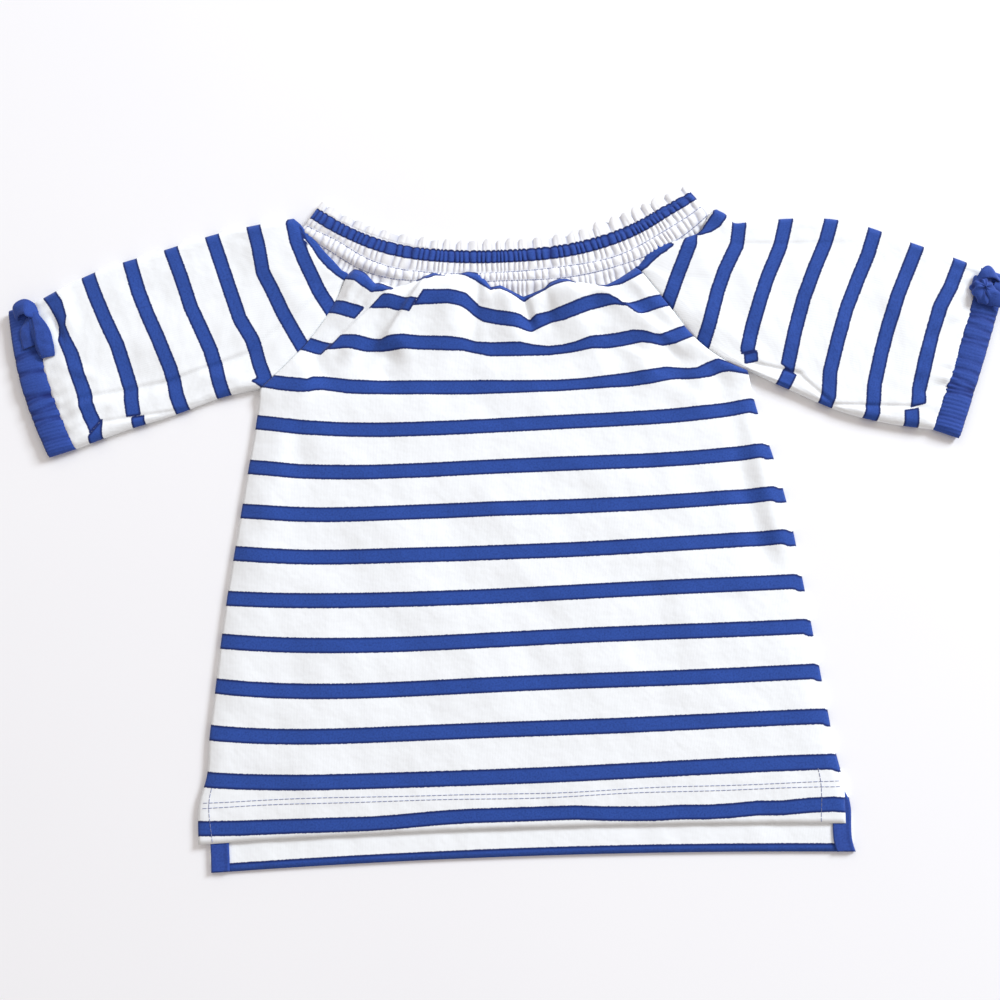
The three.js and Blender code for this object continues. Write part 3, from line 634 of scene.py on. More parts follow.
# The back panel lies flat under the front and is 16 mm longer at the hem, where a navy strip is its
# lowest edge. It repeats the front's lower stripes.
hem_strip = 4.3  # width of the navy strip
back_level = 1.0
back_plan, back_below = body_plan(back_sides, back_length, raglan_rows=40, side_rows=96, columns=130)
back_x, back_y = back_plan[..., 0], back_plan[..., 1]
above_back_hem = back_length - back_below
back_edge = smooth(0, 5, np.minimum(back_x - back_plan[:, :1, 0], back_plan[:, -1:, 0] - back_x))
back_ripple = 0.2 * waves(back_x, 0.25 * back_y, 22, 8) * smooth(0, 8, above_back_hem)
back_height = np.maximum(back_level + 0.25 * back_edge + back_ripple, jersey_thickness)
back_stripes = upper_stripes[-1:] + straight_stripes(right_hook=0) + [hem_stripe]
back = add_shell(
    "back_cloth", np.dstack([back_plan, back_height]), jersey, back_plan,
    stripe=np.minimum(stripe_distance(back_x, back_y, back_stripes), above_back_hem - hem_strip),
)
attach(back, "root")
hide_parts("back_panel")


# The sleeves. Each is a short raglan sleeve, a tube of the same jersey folded flat along its top, and
# gathered into its cuff. The underarm seam has rolled a little to the front.
sleeve_edges = {  # along from cuff to body, the top fold's x and y, and the underarm fold's x and y
    "left": [
        (0, -287, 141.5, -260.5, 48.5), (0.25, -249, 160, -231, 58.5), (0.5, -210, 171.5, -201, 67),
        (0.75, -170, 182.5, -173, 76.5), (1, -127, 189.5, -148, 81.5),
    ],
    "right": [
        (0, 298, 138.5, 257.5, 38), (0.25, 257, 156.5, 229, 43.5), (0.5, 218, 172.5, 202, 52),
        (0.75, 180, 176, 176, 65), (0.88, 157, 174.6, 161.8, 72.6), (0.935, 147.5, 175, 155.8, 76.2),
        (0.97, 143.6, 180.5, 151.8, 78.3), (1, 138.5, 184, 147.5, 79.5),
    ],
}
sleeve_heads = {  # from the top fold to the raglan seam, the last points shared with the body's edge
    "left": [(-127, 189.5), (-122, 184.5)] + gather_line[1:6],
    "right": [(137, 184), (133, 182), (130, 177), (126.5, 170.5)] + gather_line[-2:-8:-1],
}
opening_bow = {"left": 4.5, "right": 0.8}  # how far the cuff line bows outwards
sleeve_middle = 2.3  # height of the two folds, half way between the layers
sleeve_length = 150  # its usual length, from cuff to body
sleeve_rows = 118
upper_count = 150  # points across its upper layer
lower_count = 70
fold_crowding = 0.85  # 1 would bring the points at a fold together altogether
cuff_swell = 0.9  # how much the upper layer swells out of the cuff
cuff_pleats = 9
head_swell = 1.5  # how much it swells under the gathered head
head_share = 2.6  # one over the share across that is gathered

sleeve_stripes = {
    "left": [
        {"line": [
            (-277.5, 147), (-272, 139), (-268.7, 130.5, 3.2), (-268.2, 125.5, 2), (-267, 117.5, 3.6),
            (-262, 106.5), (-258, 93.5), (-254, 82.5), (-253, 76), (-250, 67.5), (-246.5, 60),
            (-246, 52),
        ], "cuts": [((-252.5, 55), (-244.4, 65.2))]},
        {"line": [(-247.2, 66, 3.8), (-247.2, 48, 3.8)], "cuts": [((-243.8, 64.8), (-251.9, 54.6))]},
        {"line": [
            (-255, 163), (-253, 156.5), (-248.5, 144), (-242, 128), (-234.5, 111.5), (-229.5, 95),
            (-226.5, 84.5), (-226, 77.5), (-223.6, 62),
        ], "cuts": [((-230, 66.8), (-216, 68.2))]},
        {"line": [(-222.6, 72, 3.6), (-220.6, 52, 3.6)], "cuts": [((-216, 67.4), (-230, 66))]},
        {"line": [
            (-229.5, 170), (-227.5, 164.5), (-222, 145), (-216.5, 130.5), (-210, 115.5), (-202.5, 96),
            (-201, 90.5), (-198.5, 78.5), (-195, 68.5), (-193, 60),
        ]},
        {"line": [
            (-204.5, 180), (-202.5, 172), (-196, 153.5), (-190, 134), (-184.5, 121.5), (-178, 106),
            (-175.5, 97), (-172.5, 85), (-168, 70),
        ]},
        {"line": [
            (-178.5, 186), (-177, 179), (-171.5, 161.5), (-164.5, 139), (-160, 125), (-152.5, 111.5),
            (-148.5, 96.5), (-146, 89.5), (-143, 80),
        ]},
        {"line": [(-152, 85.6, 0.6), (-148, 85.4, 2.6), (-144, 84, 3.6)]},
        {"line": [
            (-152.5, 192), (-151.5, 185.5), (-148, 170.5), (-145.5, 154), (-140, 142.5), (-133.5, 127.5),
            (-126.5, 114), (-121, 104),
        ]},
        {"line": [
            (-125.5, 192, 3.2), (-126.6, 185), (-124.5, 173.5), (-120, 161), (-114, 147), (-111.5, 141),
            (-102, 125),
        ]},
        {"line": [
            (-123, 188, 1), (-120.8, 184, 1.9), (-118.9, 179.5, 2.1), (-116.6, 174.8, 2.3),
            (-113, 170.5, 2.6), (-108.5, 164, 3.3), (-103.5, 158, 3.4), (-98, 153, 3.4), (-92, 149, 3.4),
        ]},
    ],
    "right": [
        {"line": [(120.5, 168, 2.6), (118, 161), (109.5, 142), (100, 119)]},
        {"line": [
            (84, 147.2, 3), (88.2, 150.2, 3.6), (92.6, 154.8, 4), (97.4, 158.4, 3.8), (102, 160.2, 3.2),
            (106.5, 161.4, 1.4),
        ]},
        {"line": [
            (120, 166.5, 0.3), (126.5, 168.5, 1.4), (130.5, 171, 3), (134.5, 174.5), (138, 179),
            (140, 188),
        ]},
        {"line": [
            (150.5, 180), (149.5, 172), (147, 159), (138.5, 143.5), (133, 130), (126, 108.5), (119, 90),
        ]},
        {"line": [
            (181, 182), (179, 174.5), (174, 157.5), (164.5, 138), (159, 124.5), (152.5, 106.5),
            (148.5, 93), (148.8, 86),
        ], "cuts": [((143, 89.6), (158, 92.2))]},
        {"line": [
            (150.2, 96, 3.9), (150.2, 80, 3.9),
        ], "cuts": [((158, 91.4), (143, 88.8)), ((144, 83.2), (157, 85.4))]},
        {"line": [
            (209.5, 182), (207.5, 174), (202, 158.5), (193.5, 141.5), (185.5, 123.5), (178, 102),
            (172.5, 82.5), (171, 76),
        ], "cuts": [((167, 84), (175.5, 76))]},
        {"line": [(175, 80), (168, 68), (164, 60)], "cuts": [((178.5, 74.5), (163, 84))]},
        {"line": [
            (236, 174), (233.5, 165), (227.5, 149.5), (219.5, 133.5), (211, 115.5), (204, 96.5),
            (197.5, 76.5), (195.5, 62), (190, 48),
        ]},
        {"line": [
            (261, 162), (258.5, 154), (251, 138.5), (243, 122.5), (235.5, 103.5), (229.5, 86.5),
            (223.5, 67), (221, 50.5), (217, 40),
        ]},
        {"line": [
            (286, 150), (283.5, 142), (276, 126.5), (268, 114), (261.5, 97), (255.5, 80.5), (250, 62.5),
            (249.5, 58.5), (248.5, 53),
        ], "cuts": [((240, 51.5), (256, 54.5))]},
        {"line": [(244.5, 54), (243.5, 40)], "cuts": [((252, 51.5), (238, 50))]},
    ],
}
sleeve_folds = {  # each row as in the front's folds
    "left": [
        (-256, 79.5, -202, 88, 1.1, 5, -0.9, 8, 0),
        (-206, 87, -154, 104, 1.2, 6, -1.1, 10, 0),
        (-156, 103, -106, 141, 1.8, 6, -1.2, 9, 0),
        (-270, 148, -262, 122, 4, 6, 1.6, 7, 0),
        (-275, 132, -268, 116, 2.2, 3, -1.6, 5, 0),
        (-268, 100, -248, 92, 4, 3, 0.9, 7, 0),
        (-262, 72, -246, 78, 3, 3, 1.0, 6, 0),
        (-258, 60, -240, 72, 2, 4, -1.1, 6, 0),
        (-246, 64, -192, 70, 1.2, 1.6, -0.7, 5, 0),
        (-240, 150, -200, 120, 10, 14, 0.8, 18, 0),
        (-232, 118, -186, 104, 12, 9, 0.8, 16, 0),
        (-150, 168, -118, 128, 7, 9, 0.9, 16, 0),
        (-190, 92, -150, 84, 5, 5, 0.8, 10, 0),
    ],
    "right": [
        (150, 84, 180, 76, 1.3, 2, -1.1, 5, 0),
        (178, 76, 197, 57, 1.3, 2, -1, 5, 0),
        (196, 56, 250, 52, 1.2, 1.8, -0.9, 6, 0),
        (270, 66, 252, 60, 2, 3, -1.2, 4, 0),
        (279, 120, 262, 98, 5, 4, 1.2, 8, 0),
        (276, 104, 258, 92, 3, 4, -1, 6, 0),
        (262, 80, 252, 72, 3, 3, 1.1, 5, 0),
        (140, 160, 214, 158, 1.5, 5, -0.45, 14, 0),
        (122, 158, 132, 112, 7, 9, 0.8, 14, 0),
        (150, 150, 170, 96, 10, 12, 0.7, 18, 0),
        (205, 150, 196, 80, 12, 16, 0.7, 20, 0),
        (240, 138, 250, 88, 8, 12, 0.7, 16, 0),
        (118, 120, 158, 88, 5, 7, 0.8, 10, 0),
    ],
}


def walk(path, share):
    """Points at equal shares of a path's length, straight between its rows."""
    path = np.asarray(path, float)
    length = np.concatenate([[0], np.cumsum(np.hypot(*np.diff(path, axis=0).T))])
    at = np.asarray(share) * length[-1]
    return np.stack([np.interp(at, length, path[:, 0]), np.interp(at, length, path[:, 1])], axis=-1)


def flat_ring(upper, lower):
    """Shares across a flattened tube, out over its upper layer and back along its lower one, closer
    together at the two folds, with 1 for the upper layer and -1 for the lower."""
    out_and_back = [np.linspace(0, 1, upper, endpoint=False), np.linspace(1, 0, lower, endpoint=False)]
    share = np.concatenate(out_and_back)
    share = share - fold_crowding * np.sin(2 * math.pi * share) / (2 * math.pi)
    return share, np.concatenate([np.ones(upper), -np.ones(lower)])


def fold_round(from_fold, radius):
    """A quarter circle: 0 at the fold, 1 a radius away from it and beyond."""
    return np.sqrt(1 - (1 - np.clip(from_fold / radius, 0, 1)) ** 2)


def tube_height(layer, from_fold, middle, upper, lower, upper_round, lower_round):
    """Height round a flattened tube: its two layers, each brought by a quarter circle of its own radius
    to the folds' height in the middle."""
    above = middle + (upper - middle) * fold_round(from_fold, upper_round)
    beneath = middle - (middle - lower) * fold_round(from_fold, lower_round)
    return np.where(layer > 0, above, beneath)


def opening_point(side, across, out):
    """The sleeve's opening, or a line a distance out from it: straight from fold to fold, bowed outwards
    by half a sine wave."""
    row = sleeve_edges[side][0]
    top, under = np.array(row[1:3], float), np.array(row[3:5], float)
    run = (under - top) / np.hypot(*(under - top))
    square = np.array([-run[1], run[0]]) * outward[side]
    return mix(top, under, across) + (opening_bow[side] * np.sin(math.pi * across) + out)[..., None] * square


def sleeve_plan(side, along, across):
    """Plan points of a sleeve, rows along it and columns across. A row is straight from fold to fold,
    and bends to the curve of the seam or of the opening with the cube of its nearness to it."""
    table = sleeve_edges[side]
    top = read_points(table, (1, 2), along)
    under = read_points(table, (3, 4), along)
    plan = mix(top[:, None, :], under[:, None, :], np.broadcast_to(across, (len(along), len(across))))
    seam = sleeve_heads[side] + raglan_point(side, np.linspace(0, 1, 20)).tolist()
    seam_bend = walk(seam, across) - mix(top[-1], under[-1], across)
    opening_bend = opening_point(side, across, np.zeros(len(across))) - mix(top[0], under[0], across)
    near_seam = (along ** 3)[:, None, None]
    near_cuff = ((1 - along) ** 3)[:, None, None]
    return plan + seam_bend * near_seam + opening_bend * near_cuff


def make_sleeve(side, seed):
    """A sleeve, its rows running from cuff to body. The upper layer swells out of the cuff and under
    the gathered head, with small pleats at the cuff, folds and soft waves. The lower one lies on the
    surface, and a quarter circle brings both to the two folds."""
    along = np.linspace(0, 1, sleeve_rows)
    across, layer = flat_ring(upper_count, lower_count)
    plan = sleeve_plan(side, along, across)
    x, y = plan[..., 0], plan[..., 1]
    reach = np.hypot(*(plan[:, 0] - plan[:, upper_count - 1]).T)[:, None]
    from_fold = np.minimum(across, 1 - across) * reach
    from_cuff = along[:, None] * sleeve_length
    from_seam = sleeve_length - from_cuff
    even_pleats = 0.6 * np.sin(2 * math.pi * across * cuff_pleats + 2.5 * np.sin(9 * across))
    pleats = even_pleats + 0.5 * np.sin(47 * across)
    head = np.clip(1 - across * head_share, 0, 1) ** 0.5
    swell = cuff_swell * smooth(0, 12, from_cuff) * smooth(60, 20, from_cuff)
    swell = swell + pleats * np.exp(-from_cuff / 9) * smooth(0, 3, from_cuff)
    swell = swell + head_swell * head * smooth(0, 5, from_seam) * smooth(40, 12, from_seam)
    soft = 0.35 * waves(x, y, 34, seed) + 0.14 * waves(x, y, 13, seed + 1)
    dips = np.exp(-from_cuff / 1.6) + seam_dip * np.exp(-from_seam / 2.5) * smooth(0.3, 0.45, across)
    upper = cloth_loft + swell + add_folds(x, y, sleeve_folds[side]) + soft - dips
    lower = 0.12 * waves(x, y, 30, seed + 2) * (from_fold > 6) + 0.12
    height = tube_height(layer, from_fold, sleeve_middle, np.maximum(upper, 3), np.maximum(lower, 0), 5, 4)
    flat_places = np.dstack(np.broadcast_arrays(np.cumsum(layer * 0.8), from_cuff))
    turn = slice(None, None, outward[side])  # keeps the faces outward
    sleeve = add_shell(
        side + "_sleeve_cloth", np.dstack([plan, height])[turn], jersey, flat_places[turn],
        ring=True, stripe=stripe_distance(x, y, sleeve_stripes[side])[turn],
    )
    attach(sleeve, "root")
    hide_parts(side + "_sleeve")


make_sleeve("left", seed=21)
make_sleeve("right", seed=31)


# The neck band. A doubled strip of white jersey with one navy stripe, drawn up by rows of elastic
# thread into narrow ribs. Its upper edge stands free of the elastic as a small frill. Its cloth is the
# body's, a touch lighter, with painted shade in the grooves between its ribs, stronger on the navy, and
# in the gaps between the frill's pleats.
band_finish = jersey_finish("shirred_jersey", "#f7f9fb", "#3052a5", "#122766", 0.9)
frill_base = 1.2  # where the frill starts, up from the band's middle line
thread_rows = [  # share of the half width, and each thread row's distance up
    (-1, -16, -22.5), (-0.85, -12.5, -21.5), (-0.7, -14.8, -23), (-0.57, -15.5, -22.5), (-0.42, -14.2, -20),
    (0, -12.3, -17.8), (0.3, -11.8, -19), (0.55, -13, -19.5), (0.8, -11.2, -21.2), (1, -12.8, -21.3),
]
navy_rows = [  # share of the half width, and the navy stripe's distance up
    (-1, -3.6), (-0.65, -4), (-0.3, -2.4), (0, -2.2), (0.4, -1.8), (0.7, -0.8), (0.85, 0.2), (1, -1.5),
]
navy_half = 3.7  # half of its width
frill_rows = [  # share of the half width, and the frill's upper edge
    (-1, 9.5), (-0.8, 8), (-0.4, 8.5), (0, 9.5), (0.3, 9.5), (0.64, 13), (0.84, 13), (1, 10),
]
band_level = 4.1  # height of the band's front between its ribs
band_middle = 2.2  # height of its two folds
band_thickness = 0.7
rib_count = 70  # from fold to fold
rib_height = 1.25
back_rib_count = 62
back_rib_height = 0.9
pleat_count = 27
pleat_height = 1.7  # at the frill's edge
front_count = 560  # points along the band's front
back_count = 240


def rib_phase(share):
    """Counts ribs along the band, with a drift that sets some close together and some apart."""
    drift = 0.8 * np.sin(7.3 * share + 1) + 0.4 * np.sin(17 * share) + 0.2 * np.sin(61 * share + 2)
    return (share + 1) / 2 * rib_count + drift


def rib_rise(phase, sharpness):
    """0 in each groove and 1 on each rib: the size of a sine, to a power that keeps the grooves narrow."""
    return np.abs(np.sin(math.pi * phase)) ** sharpness


def frill_pleats(share):
    """The frill's pleats, which follow the ribs' drift and are fewer."""
    return rib_rise(rib_phase(share) * pleat_count / rib_count + 0.3, 0.4)


def band_front(share, up):
    """Height of the band's front, and its ribs. Between two rows of thread the cloth swells by the root
    of a half sine, ribs stand on that swelling, and the frill above has wider pleats. Lower down the
    band sinks under the front's edge."""
    row_one = read_curve(thread_rows, 1, share)
    row_two = read_curve(thread_rows, 2, share)
    upper_edge = np.where(up > row_one, frill_base, np.where(up > row_two, row_one, row_two))
    lower_edge = np.where(up > row_one, row_one, np.where(up > row_two, row_two, band_bottom - 4))
    part = np.clip((upper_edge - up) / (upper_edge - lower_edge), 0, 1)
    swell = np.sin(math.pi * part) ** 0.45
    wander = 0.05 * np.sin(0.5 * up + 19 * share) + 0.3 * (up < row_one) + 0.25 * (up < row_two)
    ribs = rib_rise(rib_phase(share) + wander, 0.55)
    sunk = (2.1 + 0.6 * smooth(0.6, 0.8, share)) * smooth(-19, band_bottom + 6, up)
    body = band_level - sunk + swell * (0.25 + rib_height * ribs)
    above = np.clip((up - frill_base) / 9, 0, 1)
    fine = rib_rise(rib_phase(share), 0.5) * (1 - above) * above ** 0.3
    pleated = (0.5 + pleat_height * above) * (frill_pleats(share) - 0.55)
    frill = band_level - 0.5 * above + pleated + 0.7 * fine
    return np.where(up > frill_base, frill, body), ribs


def make_band():
    """The band's shell: rows from the frill's edge down to the lower edge, each row a flat ring that
    runs over the front and back behind it. The navy stripe swells on the ribs and at the left end."""
    front_share = np.linspace(-1, 1, front_count, endpoint=False)
    share = np.concatenate([front_share, np.linspace(1, -1, back_count, endpoint=False)])
    is_front = np.arange(len(share)) < front_count
    scallop = 0.64 + 0.36 * frill_pleats(share) + 0.06 * np.sin(53 * share)
    back_scallop = 0.86 + 0.1 * np.sin(60 * share)
    frill_top = read_curve(frill_rows, 1, share) * np.where(is_front, scallop, back_scallop)
    frill_part = np.linspace(1, 0, 12, endpoint=False)[:, None]
    body_up = np.linspace(frill_base, band_bottom, 34)[:, None] + np.zeros(len(share))
    up = np.concatenate([frill_base + frill_part * (frill_top - frill_base), body_up])
    share = np.broadcast_to(share, up.shape)
    front_level, ribs = band_front(share, up)
    back_ribs = rib_rise(np.abs(share) * back_rib_count / 2 + 0.4 * np.sin(20 * share), 0.6)
    back_rise = back_rib_height - back_rib_height * back_ribs * smooth(0, 6, up - band_bottom)
    rounding = fold_round((1 - np.abs(share)) * neck_half, 4)
    height = band_middle + (np.where(is_front, front_level, back_rise) - band_middle) * rounding
    swelling = 0.9 * (ribs - 0.5) + 0.9 * smooth(-0.75, -1, share)
    navy = np.abs(up - read_curve(navy_rows, 1, share)) - navy_half - swelling
    white_edge = smooth(-0.5, 1, navy)
    # Painted shade in the gaps between the frill's pleats.
    frill_painted_shade = (1 - frill_pleats(share)) ** 1.4 * 0.8
    return add_shell(
        "neck_band_cloth", np.dstack([neck_point(share, up), height]), band_finish,
        np.dstack([share * 190, up]), thickness=band_thickness, ring=True, stripe=navy,
        # Painted shade in the grooves between the ribs, stronger on the navy than on the white.
        painted_shade=np.where(up > frill_base, frill_painted_shade, (1 - ribs) * (1.2 - 0.6 * white_edge)),
    )


band = make_band()
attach(band, "root")
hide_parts("neck_band")

# The thread of all the stitching that shows: grey-blue polyester, a shade lighter or darker from one
# stitch to the next.
thread_finish, thread_shader = new_material("grey_blue_polyester_thread", 0.6, 0.3)
cloud_colour(thread_finish, thread_shader, 900.0, 1.0, "#66709c", "#8f98bb")


def add_stitches(name, starts, ends, radius):
    """One mesh of short threads. Each is a six-sided tube of five rings from start to end, full in its
    middle and drawn in at its ends."""
    place = np.array([0, 0.12, 0.5, 0.88, 1.0])
    girth = np.array([0.1, 0.85, 1, 0.85, 0.1]) * radius
    turn = np.arange(6) * math.pi / 3
    run = ends - starts
    side = np.cross(run, [0, 0, 1.0])
    side /= np.linalg.norm(side, axis=-1, keepdims=True)
    rise = np.cross(side, run)
    rise /= np.linalg.norm(rise, axis=-1, keepdims=True)
    centre = starts[:, None, :] + run[:, None, :] * place[None, :, None]
    around = np.cos(turn)[:, None] * side[:, None, :] + np.sin(turn)[:, None] * rise[:, None, :]
    points = centre[:, :, None, :] + girth[None, :, None, None] * around[:, None, :, :]
    index = np.arange(points[..., 0].size).reshape(points.shape[:3])
    following = np.roll(index, -1, axis=2)
    walls = [index[:, :-1], following[:, :-1], following[:, 1:], index[:, 1:]]
    quads = np.stack(walls, axis=-1).reshape(-1, 4)
    caps = np.concatenate([index[:, 0, ::-1], index[:, -1]])
    piece = add_piece(name, points, quads.tolist() + caps.tolist(), thread_finish)
    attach(piece, "root")


def dashes(points, gap):
    """Starts and ends of stitches: between each two points, all but a gap at both ends. The gap is a
    share of the way."""
    run = points[1:] - points[:-1]
    return points[:-1] + gap * run, points[:-1] + (1 - gap) * run


# The two rows of elastic thread along the band: short runs that lie in the troughs of the shirring.
shirring_height = 0.35  # above the cloth at the row
shirring_radius = 0.3
shirring_places = 151
shirring_runs = []
for column in (1, 2):
    share = np.linspace(-0.985, 0.985, shirring_places)
    up = read_curve(thread_rows, column, share)
    height = band_front(share, up)[0] + shirring_height
    shirring_runs.append(dashes(np.column_stack([neck_point(share, up), height]), gap=0.04))
shirring_starts, shirring_ends = (np.concatenate(ends) for ends in zip(*shirring_runs))
add_stitches("shirring_threads", shirring_starts, shirring_ends, shirring_radius)


# The cuffs. A tube of navy jersey over narrow elastic, sewn round each sleeve opening. Drawn in by the
# elastic, it lies in uneven cross wrinkles, and both its edges are finely scalloped. Its cloth is plain
# navy all over, with painted shade in its wrinkles and along both its edges.
cuff_finish = jersey_finish("navy_elastic_jersey", "#f7f9fb", "#304fa2", "#162a6c", 0.85)
cuff_width = 15.5
cuff_length = 97  # across the flat cuff, from fold to fold
cuff_lap = 0.8  # how far it laps over the sleeve
cuff_level = 3.6  # height that its upper face starts from
cuff_crown = 2.2  # how much higher that face is along its middle
cuff_middle = 2.4  # height of its two folds
scallop_count = 46
scallop_depth = 0.35
cuff_wrinkles = {  # across from the fold at the top: place, width in mm, and depth in mm
    "left": [
        (0.33, 1.2, 1), (0.345, 0.8, 0.7), (0.44, 1, 0.8), (0.46, 1.3, 0.8), (0.6, 1.5, 1.1),
        (0.625, 1, 1.2), (0.645, 1, 0.9), (0.69, 1.2, 1), (0.71, 1, 0.7), (0.77, 1.2, 1),
        (0.8, 0.8, 0.6), (0.9, 2, 0.5),
    ],
    "right": [
        (0.27, 1, 0.9), (0.31, 1.2, 1), (0.36, 1.5, 0.7), (0.42, 1, 0.9), (0.47, 1.3, 0.6),
        (0.55, 1.5, 0.5), (0.63, 1.2, 0.8), (0.68, 1.1, 1), (0.71, 1, 1.2), (0.735, 0.9, 1.1),
        (0.77, 1, 1), (0.9, 2, 0.4),
    ],
}


def make_cuff(side):
    """A cuff, its rows running from the sleeve's side outwards, each round the flattened tube. A flat
    crown rises between its two edges, wrinkles cut into it as narrow bell curves that wander a little,
    and fine ripples follow the scallops."""
    across, layer = flat_ring(260, 90)
    part = np.linspace(0, 1, 15)[:, None]
    scallop = scallop_depth * np.abs(np.sin(math.pi * across * scallop_count + 2 * np.sin(11 * across)))
    out = part * (cuff_width + cuff_lap + 1.6 * scallop) - cuff_lap - scallop
    plan = opening_point(side, np.broadcast_to(across, out.shape), out)
    from_fold = np.minimum(across, 1 - across) * cuff_length
    crown = np.sin(math.pi * np.clip(part, 0.02, 0.98)) ** 0.35
    from_middle = np.abs(2 * part - 1)
    depth = np.zeros(out.shape)
    for place, width, most in cuff_wrinkles[side]:
        bend = 1.2 * np.sin(2.5 * part + 40 * place)
        depth += most * np.exp(-(((across - place) * cuff_length + bend) / width) ** 2)
    fine = 0.13 * np.sin(2 * math.pi * across * scallop_count + 3 * np.sin(11 * across) + 2 * part)
    upper = cuff_level + cuff_crown * crown - depth * (0.25 + 0.5 * from_middle) + fine * (1.5 - crown * 0.7)
    lower = 0.4 - 0.4 * crown
    height = tube_height(layer, from_fold, cuff_middle, upper, lower, 4.5, 3.5)
    # Painted shade on the upper layer: in the wrinkles, as deep as they are, and a line along both edges.
    edge_line = 0.6 * (from_middle > 0.9)
    painted_shade = np.clip(depth * (0.4 + 0.4 * from_middle) + edge_line, 0, 1) * (layer > 0)
    turn = slice(None, None, -outward[side])  # keeps the faces outward
    cuff = add_shell(
        side + "_cuff_cloth", np.dstack([plan, height])[turn], cuff_finish,
        np.dstack(np.broadcast_arrays(across * 190, out))[turn],
        ring=True, stripe=plain_navy, painted_shade=painted_shade[turn],
    )
    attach(cuff, "root")
    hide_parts(side + "_cuff")


for side in sides:
    make_cuff(side)


# The bows. Narrow navy jersey tape is tied round the fold end of each cuff. Each bow is a knot with a
# domed loop, a flatter hanging loop with its back layer beneath it, and a short tail.
bow_ribbons = {  # part of the way along, centre x, y and z, then half the tape's width in x, y and z
    "left": {
        "dome": [(0, -296.5, 129.5, 4.5, -1.0, 1.5, 0.2), (0.2, -296, 134, 8, -1.5, 3, 0.5),
                 (0.5, -290.5, 137, 10.4, -0.5, 5, -0.8), (0.8, -285.5, 134.5, 9.6, 1.5, 4.4, -1.2),
                 (1, -282.8, 132, 7.4, 0.8, 2, -0.4)],
        "loop": [(0, -284.4, 132.6, 8.6, 1.8, 1.0, 0.1), (0.25, -280, 124, 9.4, 3.8, 1.6, -0.3),
                 (0.6, -277.6, 114.5, 8.6, 4.8, 1.4, -0.6), (0.86, -276.2, 106.6, 7.0, 4.2, 1.0, -0.2),
                 (0.94, -276.4, 105.4, 6.2, 4.0, 0.9, 0), (1, -277, 106.4, 5.6, 3.8, 0.8, 0)],
        "loop_back": [(0, -277, 106.6, 6.1, 3.8, 0.8, 0), (0.4, -281.5, 113.5, 6.6, 2.2, 0.8, 0.6),
                      (0.75, -284.6, 122, 7.2, 2.0, 0.8, 0.9), (1, -286.6, 130, 7.4, 1.6, 0.8, 0.4)],
        "tail": [(0, -287.5, 131, 7.2, 2.2, 0.8, 0.3), (0.5, -290, 123, 7.2, 3.4, 1.1, 0.5),
                 (1, -287.8, 112, 6.6, 3.6, 1.2, 0.4)],
    },
    "right": {
        "dome": [(0, 289.5, 128, 6.5, 1.5, 2, 0.4), (0.3, 294, 132.4, 9.4, 0.8, 3.4, 0.4),
                 (0.65, 300.6, 133.6, 9.4, -0.4, 4, -0.5), (1, 306.5, 130, 6, -1.0, 3, -0.6)],
        "loop": [(0, 296, 125, 9.4, 4, -1.2, 0.3), (0.4, 299.6, 119.6, 10.4, 5, -1.6, 0.3),
                 (0.75, 301.4, 114.6, 9.2, 5, -1.4, -0.2), (0.92, 301, 111.8, 7.4, 4.8, -1.2, 0),
                 (1, 300.4, 112.8, 6.6, 4.6, -1.1, 0)],
        "loop_back": [(0, 300.4, 113, 7, 4, -0.9, 0), (0.5, 299, 117, 7.2, 3.4, -1, 0),
                      (1, 297.4, 122, 7.4, 2.6, -0.8, 0.3)],
        "tail": [(0, 302, 126, 7, 1.4, 2.4, 0.4), (0.5, 306.4, 122.6, 6.4, 1.8, 3.2, 0.2),
                 (1, 308.6, 117, 4.6, 2.2, 3.2, 0)],
    },
}
bow_knots = {  # centre x, y and z, half sizes in x, y and z, and where its crumples start
    "left": (-285.6, 132.8, 6.6, 3.4, 3.4, 2.4, 1.3),
    "right": (294.8, 123.6, 7.0, 7.2, 8.8, 3.8, 4),
}
knot_skin = 0.6
tape_thickness = 0.8


def add_ribbon(name, rows, seed):
    """A length of tape: a smooth line of centres, with the half width laid off to both sides of it, and
    a slight cup and crumple across. A shade line along each side shows where its edges are turned in."""
    at = np.linspace(0, 1, 44)
    cross = np.linspace(-1, 1, 13)
    centre = read_points(rows, (1, 2, 3), at)
    half = read_points(rows, (4, 5, 6), at)
    points = centre[:, None, :] + half[:, None, :] * cross[None, :, None]
    points[..., 2] += 0.5 * (1 - cross ** 2)[None, :] + 0.22 * waves(points[..., 0], points[..., 1], 6, seed)
    edge_line = 0.35 * (np.abs(np.abs(cross) - 0.84) < 0.08)
    flat_places = np.dstack(np.broadcast_arrays(cross * 5, at[:, None] * 40))
    ribbon = add_shell(
        name, points, cuff_finish, flat_places, thickness=tape_thickness, stripe=plain_navy, painted_shade=edge_line,
    )
    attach(ribbon, "root")
    return ribbon


def add_knot(name, knot):
    """The knot: an ellipsoid, creased round its middle where the tape wraps it, and crumpled, with painted
    shade in its creases.
    """
    x, y, z, half_x, half_y, half_z, start = knot
    turn = np.linspace(0, 2 * math.pi, 60, endpoint=False)[None, :]
    rise = np.linspace(0.02, math.pi - 0.02, 34)[:, None]
    wrap = 0.1 * np.sin(3 * rise + 2 * np.sin(turn)) + 0.07 * np.sin(5 * turn + 4 * rise + start)
    size = 1 + wrap + 0.06 * np.sin(9 * turn - 3 * rise)
    points = np.dstack([
        x + half_x * size * np.sin(rise) * np.cos(turn),
        y + half_y * size * np.sin(rise) * np.sin(turn),
        z + half_z * size * np.cos(rise),
    ])
    flat_places = np.dstack(np.broadcast_arrays(turn * half_x, rise * half_y))
    piece = add_shell(
        name, points, cuff_finish, flat_places, thickness=knot_skin, ring=True, stripe=plain_navy,
        # Painted shade where the wrap dips in.
        painted_shade=np.clip(-wrap * 6, 0, 0.8),
    )
    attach(piece, "root")
    return piece


